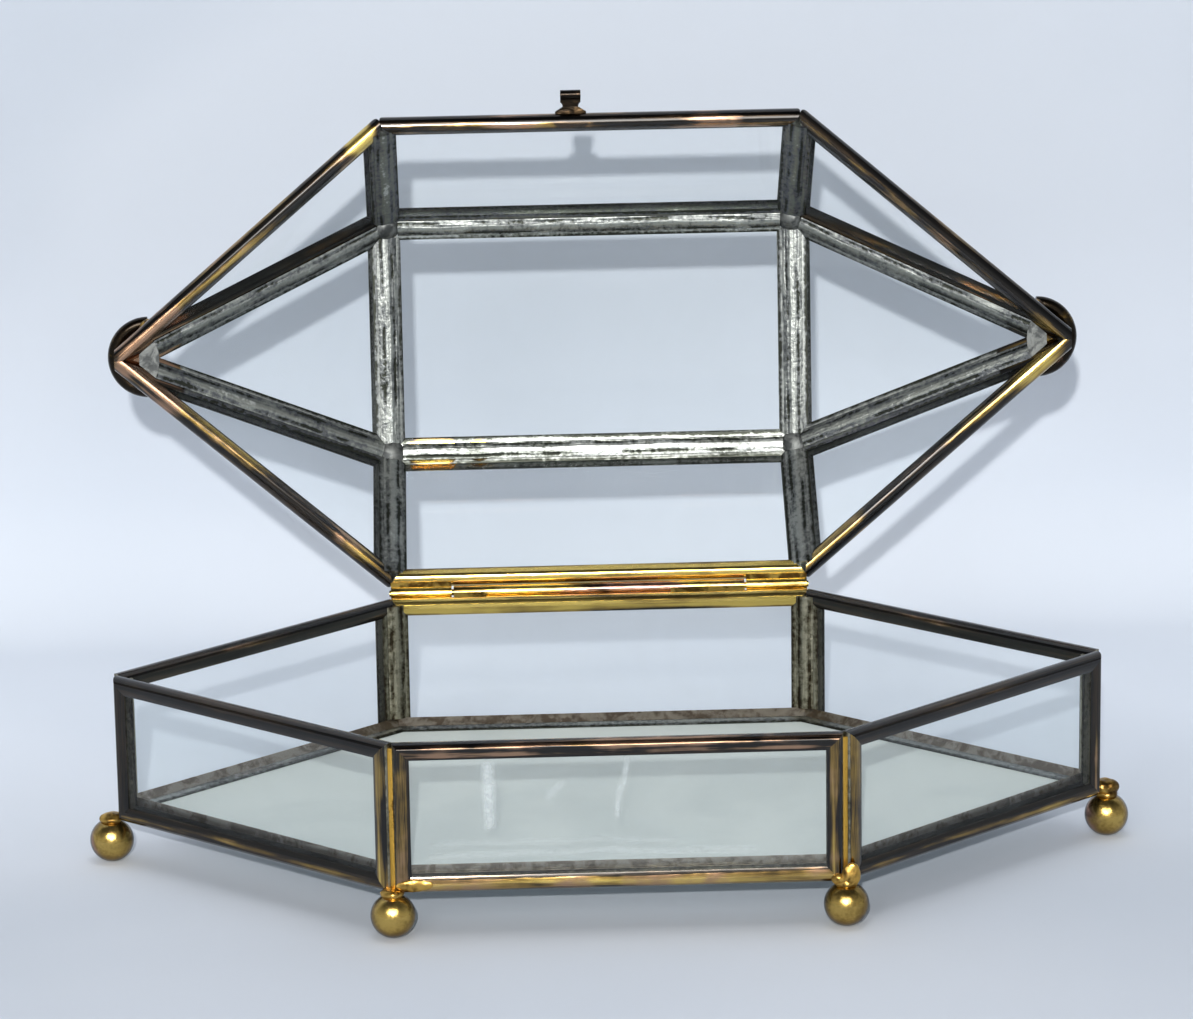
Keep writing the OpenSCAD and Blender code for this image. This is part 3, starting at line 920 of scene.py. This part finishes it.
@dataclass(frozen=True)
class FrostedGlass:
    """Floor glass, polished above and obscured below."""

    pale: Colour = srgb(222, 230, 227)
    shade: Colour = srgb(212, 221, 219)
    cover: float = 0.88
    roughness: float = 0.38
    gloss: float = 0.06

    def mix(self, name: str) -> Material:
        """Mixes the glass.

        Args:
            name: The material's name.

        Returns:
            The material.
        """
        paint = Paint(name)
        place = paint.place()
        wipe = paint.noise(place, 0.03, roughness=0.5, distortion=1.0)
        fine = paint.noise(place, 0.9, detail=4.0, roughness=0.6)
        tone = (wipe + fine.swing(0.25)).step(0.35, 0.65)
        shader = paint.node(
            "ShaderNodeBsdfPrincipled",
            None,
            {
                "Base Color": paint.blend(tone, self.shade, self.pale),
                "Roughness": self.roughness + fine * 0.1,
                "Specular IOR Level": self.gloss,
                "Alpha": self.cover,
            },
        )
        return paint.finish(shader)


@dataclass(frozen=True)
class SheetFinish:
    """Plain pale sheet of the floor and the backdrop, which only its front side shows.

    Round the box it is a little brighter to the eye, to metal and to glass, but lights nothing.
    """

    pale: Colour = srgb(214, 220, 229)
    shade: Colour = srgb(205, 212, 222)
    glow: Colour = srgb(236, 244, 255)
    strength: float = 0.19
    glow_ahead: tuple[float, float] = (-50.0, 90.0)
    glow_rise: tuple[float, float] = (90.0, 5.0)

    def mix(self, name: str) -> Material:
        """Mixes the sheet's material.

        Args:
            name: The material's name.

        Returns:
            The material.
        """
        paint = Paint(name)
        place = paint.place()
        cloud = paint.noise(place, 0.006, detail=2.0, roughness=0.5, distortion=0.6)
        front = paint.node(
            "ShaderNodeBsdfDiffuse",
            None,
            {"Color": paint.blend(cloud.step(0.35, 0.65), self.shade, self.pale)},
        )
        rays = paint.node("ShaderNodeLightPath").outputs
        seen = Value(paint, rays["Is Camera Ray"]).at_least(Value(paint, rays["Is Glossy Ray"]))
        seen = seen.at_least(Value(paint, rays["Is Transmission Ray"]))
        ahead = paint.distance_from(place, np.zeros(3), np.array([0.0, 1.0, 0.0]))
        rise = paint.distance_from(place, np.zeros(3), np.array([0.0, 0.0, 1.0]))
        near = seen * ahead.step(*self.glow_ahead) * rise.step(*self.glow_rise)
        lamp = {"Color": self.glow, "Strength": self.strength}
        glow = paint.node("ShaderNodeEmission", None, lamp)
        none = paint.node("ShaderNodeEmission", None, {"Strength": 0.0})
        lit = paint.mix_shaders(near, none, glow)
        bright = paint.node("ShaderNodeAddShader", None, {0: front.outputs[0], 1: lit.outputs[0]})
        back = paint.node("ShaderNodeBsdfTransparent")
        side = Value(paint, paint.node("ShaderNodeNewGeometry").outputs["Backfacing"])
        return paint.finish(paint.mix_shaders(side, bright, back))


# Bench work


class Bench:
    """Mesh work with Blender's own operators, one piece at a time."""

    merge_within = 0.001

    @staticmethod
    def clear() -> None:
        """Leaves edit mode and deselects everything."""
        if bpy.context.object is not None and bpy.context.object.mode != "OBJECT":
            bpy.ops.object.mode_set(mode="OBJECT")
        bpy.ops.object.select_all(action="DESELECT")

    @classmethod
    def settle(cls, name: str, angle: float) -> Piece:
        """Applies the active object's place, merges its doubles and turns its faces outwards.

        Args:
            name: The piece's name.
            angle: Edges that turn less than this, in degrees, are shaded smooth.

        Returns:
            The piece.
        """
        piece = bpy.context.object
        piece.name = name
        piece.data.name = name
        bpy.ops.object.transform_apply(location=True, rotation=True, scale=True)
        bpy.ops.object.mode_set(mode="EDIT")
        bpy.ops.mesh.select_all(action="SELECT")
        bpy.ops.mesh.remove_doubles(threshold=cls.merge_within * MM)
        bpy.ops.mesh.normals_make_consistent(inside=False)
        bpy.ops.object.mode_set(mode="OBJECT")
        bpy.ops.object.shade_smooth_by_angle(angle=math.radians(angle))
        return piece

    @staticmethod
    def modify(kind: str, **settings: object) -> None:
        """Adds a modifier to the active object and applies it at once.

        Args:
            kind: Blender's name of the modifier type.
            settings: Its properties.
        """
        bpy.ops.object.modifier_add(type=kind)
        modifier = bpy.context.object.modifiers[-1]
        for name, value in settings.items():
            setattr(modifier, name, value)
        bpy.ops.object.modifier_apply(modifier=modifier.name)

    @staticmethod
    def dress(piece: Piece, material: Material) -> None:
        """Puts a material in every slot of a piece, or in a new slot if it has none."""
        if not piece.material_slots:
            piece.data.materials.append(material)
        for slot in piece.material_slots:
            slot.material = material


@dataclass(frozen=True)
class Lump:
    """A hand-made lump of solder, an egg that is stirred by noise."""

    name: str
    centre: Triple
    radii: Triple
    unrest: float = 0.5
    grain: float = 2.2
    fineness: int = 4
    cloud_layers: int = 2
    smoothing: float = 0.5
    smoothings: int = 2
    smooth_angle: float = 60.0

    def make(self) -> Piece:
        """Makes the lump.

        Returns:
            Its object.
        """
        Bench.clear()
        bpy.ops.mesh.primitive_ico_sphere_add(
            subdivisions=self.fineness,
            radius=MM,
            location=[c * MM for c in self.centre],
            scale=self.radii,
        )
        bpy.ops.object.transform_apply(location=True, rotation=True, scale=True)
        clouds = bpy.data.textures.new(self.name, "CLOUDS")
        clouds.noise_scale = self.grain * MM
        clouds.noise_depth = self.cloud_layers
        Bench.modify(
            "DISPLACE",
            texture=clouds,
            texture_coords="LOCAL",
            strength=self.unrest * 2 * MM,
            mid_level=0.5,
        )
        Bench.modify("SMOOTH", factor=self.smoothing, iterations=self.smoothings)
        return Bench.settle(self.name, self.smooth_angle)


# Sub-assemblies


@dataclass
class SubAssembly:
    """Pieces of the box that are built and dressed together."""

    body: str
    done: list[str] = field(default_factory=list)

    def node(self, name: str) -> Piece:
        """The CAD node of that name."""
        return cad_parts[name]

    def dress(self, name: str, material: Material) -> None:
        """Dresses a CAD node and notes it."""
        Bench.dress(self.node(name), material)
        self.done.append(name)

    def add(self, piece: Piece, material: Material, slot: str, *nodes: str) -> None:
        """Takes a new piece into the sub-assembly.

        Args:
            piece: The piece.
            material: Its material.
            slot: The record's material slot that it stands for; not used.
            nodes: CAD nodes that it replaces.
        """
        Bench.dress(piece, material)
        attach(piece, self.body)
        if nodes:
            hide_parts(*nodes)
        self.done.append(piece.name)

    def report(self) -> None:
        """Logs what was dressed or added."""
        log.info("%s: %s", type(self).__name__, ", ".join(self.done))


@dataclass
class Shell(SubAssembly):
    """Panes in came frames.

    Fields:
        inside: A point that the frames' inner sides face, in millimetres.
        came: The frames' finish.
        patches: Places that differ from their bar's tone.
        facets: The frames' facets, in the order in which they are dressed.
    """

    inside: Triple = (0.0, 0.0, 0.0)
    came: CameFinish = CameFinish()
    patches: tuple[Patch, ...] = ()
    facets: list[Facet] = field(default_factory=list)

    def tone(self, pane: str, middle: np.ndarray, along: np.ndarray) -> Tone:
        """The tone of a pane's bar, from the bar's middle and its direction."""
        raise NotImplementedError

    def dress_frame(self, pane: str) -> None:
        """Dresses the frame of a pane, each bar in its own tone.

        Args:
            pane: The pane's name, without its ending.
        """
        name = f"{pane}_frame"
        facet = Facet.measure(self.node(name), np.array(self.inside), partial(self.tone, pane))
        near = [patch for patch in self.patches if patch.reaches(*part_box(name))]
        self.facets.append(facet)
        self.dress(name, self.came.mix(f"came_{pane}", facet, near))


@dataclass
class Walls(Shell):
    """The six walls of the base with their panes and the solder between them."""

    body: str = "base"
    inside: Triple = (0.0, 0.0, 22.0)
    sides: tuple[str, ...] = (
        "front",
        "front_right",
        "back_right",
        "back",
        "back_left",
        "front_left",
    )
    top_bar: float = 29.0
    bottom_bar: float = 14.0
    tip: float = 70.0
    came: CameFinish = CameFinish(
        tin=TinColours(
            light=srgb(160, 157, 140),
            dark=srgb(98, 95, 80),
            slate=srgb(80, 77, 64),
            pit=srgb(44, 38, 28),
        )
    )

    def tone(self, pane: str, middle: np.ndarray, along: np.ndarray) -> Tone:
        """The tone of a wall's bar.

        Args:
            pane: The wall.
            middle: The bar's middle.
            along: The bar's direction, which makes no difference here.

        Returns:
            The tone.
        """
        if middle[2] > self.top_bar:
            # Top bars: BLACK is patina and in part painted dark reflection of the room overhead.
            return {"front": Tone.PLUM, "back": Tone.YELLOW}.get(pane, Tone.BLACK)
        if middle[2] < self.bottom_bar:
            return {
                "front": Tone.COPPER,
                "front_left": Tone.SMOKED,
                "front_right": Tone.SMOKED,
            }.get(pane, Tone.TINNED)
        if abs(middle[0]) > self.tip:
            return Tone.TIP
        if pane == "front":
            return Tone.BROWN
        if pane in ("front_left", "front_right"):
            return Tone.GOLD
        return Tone.COPPER if pane == "back_right" else Tone.OLIVE

    def build(self) -> None:
        """Dresses the frames, the panes and the upright solder."""
        for side in self.sides:
            self.dress_frame(side)
        front_glass = ClearGlass(
            haze=0.03,
            # Painted reflections on the front pane: upright and level pale streaks.
            painted_reflections=(
                PaintedReflection((-22.7, -44.0, 31.5), (-22.4, -44.0, 19.5), 1.6, 0.8),
                PaintedReflection((1.2, -44.0, 32.0), (-0.6, -44.0, 21.0), 0.8, 0.45),
                PaintedReflection((-9.0, -44.0, 27.5), (-12.5, -44.0, 24.5), 1.0, 0.35),
                PaintedReflection((-33.0, -44.0, 14.2), (24.0, -44.0, 14.6), 0.5, 0.3),
                PaintedReflection((-33.0, -44.0, 16.6), (10.0, -44.0, 16.4), 0.4, 0.2),
            ),
        ).mix("glass_front")
        clear = ClearGlass().mix("glass_wall")
        for side in self.sides:
            self.dress(f"{side}_pane", front_glass if side == "front" else clear)
        solder = SeamSolderFinish(tin=self.came.tin)
        self.dress("base_corner_solder", solder.mix("solder_upright", self.facets))


@dataclass
class Floor(Shell):
    """The floor pane in its frame, and the solder round it."""

    body: str = "base"
    inside: Triple = (0.0, 0.0, 40.0)
    lengthwise: float = 0.95

    def tone(self, pane: str, middle: np.ndarray, along: np.ndarray) -> Tone:
        """The tone of a bar of the floor's came.

        Args:
            pane: The floor.
            middle: The bar's middle.
            along: The bar's direction.

        Returns:
            The tone.
        """
        side = middle[1] if abs(along[0]) > self.lengthwise else middle[0]
        return Tone.COPPER if side < 0 else Tone.TINNED

    def build(self) -> None:
        """Dresses the floor."""
        self.dress_frame("floor")
        self.dress("floor_pane", FrostedGlass().mix("glass_floor"))
        solder = BlobSolderFinish(
            light=srgb(172, 164, 150), dark=srgb(124, 112, 98), grain=0.3, lump=0.1
        )
        self.dress("floor_solder", solder.mix("solder_floor"))


@dataclass
class Feet(SubAssembly):
    """Six ball feet and the solder that holds them."""

    body: str = "base"
    collar: Triple = (2.1, 2.1, 1.1)
    collar_height: float = 8.0
    collar_unrest: float = 0.4
    runs: tuple[Lump, ...] = (
        Lump("front_left_solder_leaf", (-35.9, -44.45, 9.5), (3.3, 0.45, 1.15), 0.3, 2.4),
        Lump("front_right_solder_run", (40.5, -44.9, 9.4), (1.7, 0.8, 2.4), 0.3, 2.2),
        Lump("front_right_solder_drop", (38.6, -44.7, 8.7), (1.6, 0.7, 1.0), 0.3, 2.0),
        Lump("right_tip_solder_cone", (90.9, 0.0, 9.2), (2.6, 2.0, 1.6), 0.5, 1.8),
    )

    def build(self) -> None:
        """Dresses the balls and makes their solder."""
        # The balls get painted shade towards their outline (edge).
        ball = TurnedBrassFinish(shine=0.82, contrast=0.9, cloud=0.16, edge=1.1)
        ball = ball.mix("brass_ball")
        gilt = BlobSolderFinish(
            light=srgb(196, 158, 82), dark=srgb(92, 68, 34), grain=0.2, lump=0.2
        ).mix("solder_gilt")
        names = [n for n in sorted(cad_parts) if n.startswith("foot_") and n != "foot_solder"]
        for name in names:
            self.dress(name, ball)
            low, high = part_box(name)
            middle = (low + high) / 2 / MM
            centre = (middle.x, middle.y, self.collar_height)
            lump = Lump(f"{name}_collar", centre, self.collar, self.collar_unrest).make()
            self.add(lump, gilt, "solder", "foot_solder")
        for run in self.runs:
            self.add(run.make(), gilt, "solder")


@dataclass
class LidShell(Shell):
    """The nine panes of the lid in their frames, and the solder inside."""

    body: str = "lid"
    inside: Triple = (0.0, 58.0, 80.0)
    hinge: tuple[float, float] = (45.625, 35.65)
    opened: float = 96.4
    rim_height: float = 40.5
    steep_x: float = 46.0
    seam_end_x: float = 20.0
    patches: tuple[Patch, ...] = (
        Patch((-43.5, 55.5, 122.0), 4.5, 0.8, -1.0),
        Patch((-84.0, 53.0, 86.5), 11.0, 0.3, 0.9),
        Patch((-84.0, 52.0, 76.5), 10.0, 0.2, 0.7),
        Patch((-31.0, 70.0, 56.5), 7.0, 0.8, -1.0),
        Patch((-22.0, 70.0, 56.5), 4.0, 0.6, -1.0),
        Patch((24.0, 55.5, 125.0), 6.0, 0.3, 0.9),
        Patch((82.0, 52.5, 78.0), 9.0, 0.4, -0.6),
        Patch((-56.0, 49.0, 51.0), 12.0, -0.35),
        Patch((60.0, 49.0, 55.0), 15.0, -0.35),
        # Painted shade on the front rim under the tab, for the tab's shadow and its dark reflection
        # in the rim.
        Patch((-3.6, 55.5, 124.5), 3.6, -0.9),
    )

    def shut(self, point: np.ndarray) -> Vector:
        """Where a point of the open lid lies with the lid shut."""
        hinge = Vector((0.0, *self.hinge))
        turn = Matrix.Rotation(math.radians(self.opened), 3, "X")
        return turn @ (Vector(point) - hinge) + hinge

    def tone(self, pane: str, middle: np.ndarray, along: np.ndarray) -> Tone:
        """The tone of a lid's bar.

        Args:
            pane: The pane that the bar edges.
            middle: The bar's middle.
            along: The bar's direction, which makes no difference here.

        Returns:
            The tone.
        """
        pane = pane.removeprefix("lid_")
        x, _, z = self.shut(middle)
        if z < self.rim_height:
            return {
                "front": Tone.UMBER,
                "back": Tone.YELLOW,
                "front_left": Tone.RIM_OLIVE,
                "front_right": Tone.RIM_BROWN,
            }.get(pane, Tone.RIM_GOLD)
        if pane in ("top", "front", "back"):
            if abs(x) > self.seam_end_x:
                return {"top": Tone.TINNED, "front": Tone.SLATE}.get(pane, Tone.OLIVE)
            # Painted highlight on the top pane's tin by the front seam; the front's side stays
            # slate.
            return Tone.SLATE if pane == "front" else Tone.HIGHLIT_TIN
        if pane.endswith("end"):
            return Tone.TINNED
        if abs(x) < self.steep_x:
            return Tone.SLATE if pane.startswith("front") else Tone.OLIVE
        return Tone.SMOKED if pane.startswith("front") else Tone.SLATE

    def build(self) -> None:
        """Dresses the frames, the panes and the solder."""
        clear = ClearGlass(haze=0.008).mix("glass_lid")
        for name in sorted(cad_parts):
            if name.startswith("lid_") and name.endswith("_frame"):
                self.dress_frame(name.removesuffix("_frame"))
            elif name.startswith("lid_") and name.endswith("_pane"):
                self.dress(name, clear)
        self.dress("lid_seam_solder", SeamSolderFinish().mix("solder_seam", self.facets))
        inner = BlobSolderFinish(
            light=srgb(112, 114, 112), dark=srgb(70, 72, 72), grain=0.4, lump=0.2, roughness=0.5
        )
        self.dress("lid_corner_solder", inner.mix("solder_inner"))


@dataclass
class Hinge(SubAssembly):
    """The tubes and the pin of the hinge with their solder."""

    body: str = "lid"

    def build(self) -> None:
        """Dresses the hinge."""
        bright = TurnedBrassFinish(
            gold=srgb(236, 204, 108), shine=0.8, cloud=0.16, stretch=(0.5, 1.6, 1.6)
        ).mix("brass_knuckle")
        pink = TurnedBrassFinish(
            gold=srgb(232, 198, 106),
            shine=0.6,
            pink=0.14,
            cloud=0.2,
            contrast=2.2,
            stretch=(0.35, 1.6, 1.6),
        ).mix("brass_tube")
        gilt = BlobSolderFinish(
            light=srgb(226, 190, 98), dark=srgb(120, 90, 44), grain=0.22
        ).mix("solder_hinge")
        for name in ("hinge_knuckle_left", "hinge_knuckle_right", "hinge_pin"):
            self.dress(name, bright)
        self.dress("hinge_tube", pink)
        for name in ("hinge_tube_solder", "hinge_knuckle_solder"):
            self.dress(name, gilt)


@dataclass
class LidFittings(SubAssembly):
    """The thumb tab and the rod loops over the tips."""

    body: str = "lid"

    def build(self) -> None:
        """Dresses the fittings."""
        smoked = TurnedBrassFinish(
            gold=srgb(150, 122, 70),
            bronze=srgb(84, 66, 40),
            dark=srgb(26, 20, 14),
            shine=0.0,
            cloud=0.5,
        ).mix("brass_tab")
        black = TurnedBrassFinish(shine=0.02, pink=0.1, contrast=1.3, cloud=0.22).mix("brass_loop")
        dark = BlobSolderFinish(light=srgb(66, 52, 36), dark=srgb(26, 21, 16)).mix("solder_tab")
        gilt = BlobSolderFinish(light=srgb(190, 150, 74), dark=srgb(70, 50, 26)).mix("solder_loop")
        self.dress("lid_tab", smoked)
        self.dress("lid_tab_solder", dark)
        self.dress("end_loop_left", black)
        self.dress("end_loop_right", black)
        self.dress("end_loop_solder", gilt)


# Photograph's setting


@dataclass
class Sweep:
    """A pale sheet that is the floor and, close behind the box, the backdrop."""

    half_width: float = 1600.0
    front: float = -2200.0
    back: float = 152.0
    height: float = 900.0
    cove: float = 26.0
    cove_steps: int = 12
    smooth_angle: float = 30.0

    def build(self) -> None:
        """Makes the sheet from a plane: its back edge is drawn up and the fold is rounded."""
        Bench.clear()
        bpy.ops.mesh.primitive_plane_add(size=1.0, location=(0.0, 0.0, 0.0))
        sheet = bpy.context.object
        sheet.scale = (2 * self.half_width * MM, (self.back - self.front) * MM, 1.0)
        sheet.location = (0.0, (self.back + self.front) / 2 * MM, 0.0)
        bpy.ops.object.transform_apply(location=True, rotation=True, scale=True)
        bpy.ops.object.mode_set(mode="EDIT")
        bpy.ops.mesh.select_mode(type="EDGE")
        self.select_fold(sheet)
        bpy.ops.mesh.extrude_region_move(
            TRANSFORM_OT_translate={"value": (0.0, 0.0, self.height * MM)}
        )
        self.select_fold(sheet)
        bpy.ops.mesh.bevel(offset=self.cove * MM, segments=self.cove_steps, affect="EDGES")
        bpy.ops.object.mode_set(mode="OBJECT")
        bpy.ops.object.shade_smooth_by_angle(angle=math.radians(self.smooth_angle))
        sheet.name = "sweep"
        Bench.dress(sheet, SheetFinish().mix("sheet"))
        log.info("Sweep: sweep")

    def select_fold(self, sheet: Piece) -> None:
        """Selects the floor's back edge.

        Args:
            sheet: The sheet, in edit mode.
        """
        bpy.ops.mesh.select_all(action="DESELECT")
        bpy.ops.object.mode_set(mode="OBJECT")
        for edge in sheet.data.edges:
            ends = [sheet.data.vertices[i].co for i in edge.vertices]
            edge.select = all(abs(e.y - self.back * MM) < MM and abs(e.z) < MM for e in ends)
        bpy.ops.object.mode_set(mode="EDIT")


@dataclass(frozen=True)
class Lamp:
    """One oblong soft lamp. It can be kept off the sheet, or out of metal's reflections."""

    name: str
    place: Triple
    size: float
    power: float
    colour: Triple = (1.0, 0.99, 0.97)
    aim: Triple = (0.0, 30.0, 60.0)
    height: float | None = None
    on_sheet: bool = True
    in_metal: bool = True

    def make(self) -> None:
        """Makes the lamp and turns it to its aim."""
        lamp = bpy.data.lights.new(self.name, "AREA")
        lamp.shape = "RECTANGLE"
        lamp.size = self.size * MM
        lamp.size_y = (self.height or self.size) * MM
        lamp.energy = self.power
        lamp.color = self.colour
        stand = bpy.data.objects.new(self.name, lamp)
        bpy.context.scene.collection.objects.link(stand)
        stand.location = Vector(self.place) * MM
        stand.rotation_mode = "QUATERNION"
        aim = Vector(self.aim) * MM - stand.location
        stand.rotation_quaternion = aim.to_track_quat("-Z", "Y")
        stand.visible_diffuse = self.on_sheet
        stand.visible_glossy = self.in_metal
        log.info("Lamp: %s", self.name)


@dataclass
class Studio:
    """The lamps over the camera and the pale room, which is darker overhead."""

    lamps: tuple[Lamp, ...] = (
        Lamp("key", (-70.0, -1180.0, 505.0), 18.0, 10.5),
        Lamp("softbox", (-420.0, -1000.0, 640.0), 260.0, 1.4),
        Lamp("window", (-70.0, -1180.0, 790.0), 1000.0, 17.0, height=600.0, on_sheet=False),
        Lamp("top", (0.0, -100.0, 1400.0), 700.0, 4.0, in_metal=False),
    )
    pale: Colour = (0.92, 0.96, 1.0, 1.0)
    dark: Colour = (0.1, 0.11, 0.13, 1.0)
    dark_from: float = 0.15
    dark_full: float = 0.8
    strength: float = 0.54

    def build(self) -> None:
        """Makes the lamps and the room."""
        for lamp in self.lamps:
            lamp.make()
        paint = Paint("room", world=True)
        place = paint.node("ShaderNodeTexCoord").outputs["Generated"]
        height = paint.node("ShaderNodeSeparateXYZ", None, {0: place}).outputs[2]
        reach = {"Value": height, "From Min": self.dark_from, "From Max": self.dark_full}
        rise = paint.node("ShaderNodeMapRange", None, reach).outputs["Result"]
        shade = paint.blend(rise, self.pale, self.dark)
        light = {"Color": shade, "Strength": self.strength}
        bpy.context.scene.world = paint.finish(paint.node("ShaderNodeBackground", None, light))


@dataclass
class PhotoCamera:
    """The camera of the photograph, found from the box's own corners."""

    place: Triple = (-30.5, -916.8, 326.5)
    pitch: float = 15.95
    roll: float = 0.89
    yaw: float = -1.80
    focal_pixels: float = 5295.0
    image_width: float = 1193.0
    sensor_width: float = 36.0
    reach: tuple[float, float] = (0.05, 20.0)

    def build(self) -> None:
        """Makes the camera and makes it the scene's own."""
        lens = bpy.data.cameras.new("photo_camera")
        lens.sensor_width = self.sensor_width
        lens.lens = self.focal_pixels * lens.sensor_width / self.image_width
        lens.clip_start, lens.clip_end = self.reach
        camera = bpy.data.objects.new("photo_camera", lens)
        bpy.context.scene.collection.objects.link(camera)
        turned = (
            Matrix.Rotation(math.radians(self.yaw), 3, "Z")
            @ Matrix.Rotation(math.radians(-self.pitch), 3, "X")
            @ Matrix.Rotation(math.radians(self.roll), 3, "Y")
        )
        right, ahead, up = turned.col
        pose = Matrix((right, up, -ahead)).transposed().to_4x4()
        pose.translation = Vector(self.place) * MM
        camera.matrix_world = pose
        bpy.context.scene.camera = camera


def main() -> None:
    """Builds the box's looks in order."""
    logging.basicConfig(level=logging.INFO, format="%(message)s")
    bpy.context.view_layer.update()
    bpy.context.scene.view_settings.view_transform = "Standard"
    for part in (Walls(), Floor(), Feet(), LidShell(), Hinge(), LidFittings()):
        part.build()
        part.report()
    Sweep().build()
    Studio().build()
    PhotoCamera().build()


if __name__ == "__main__":
    main()
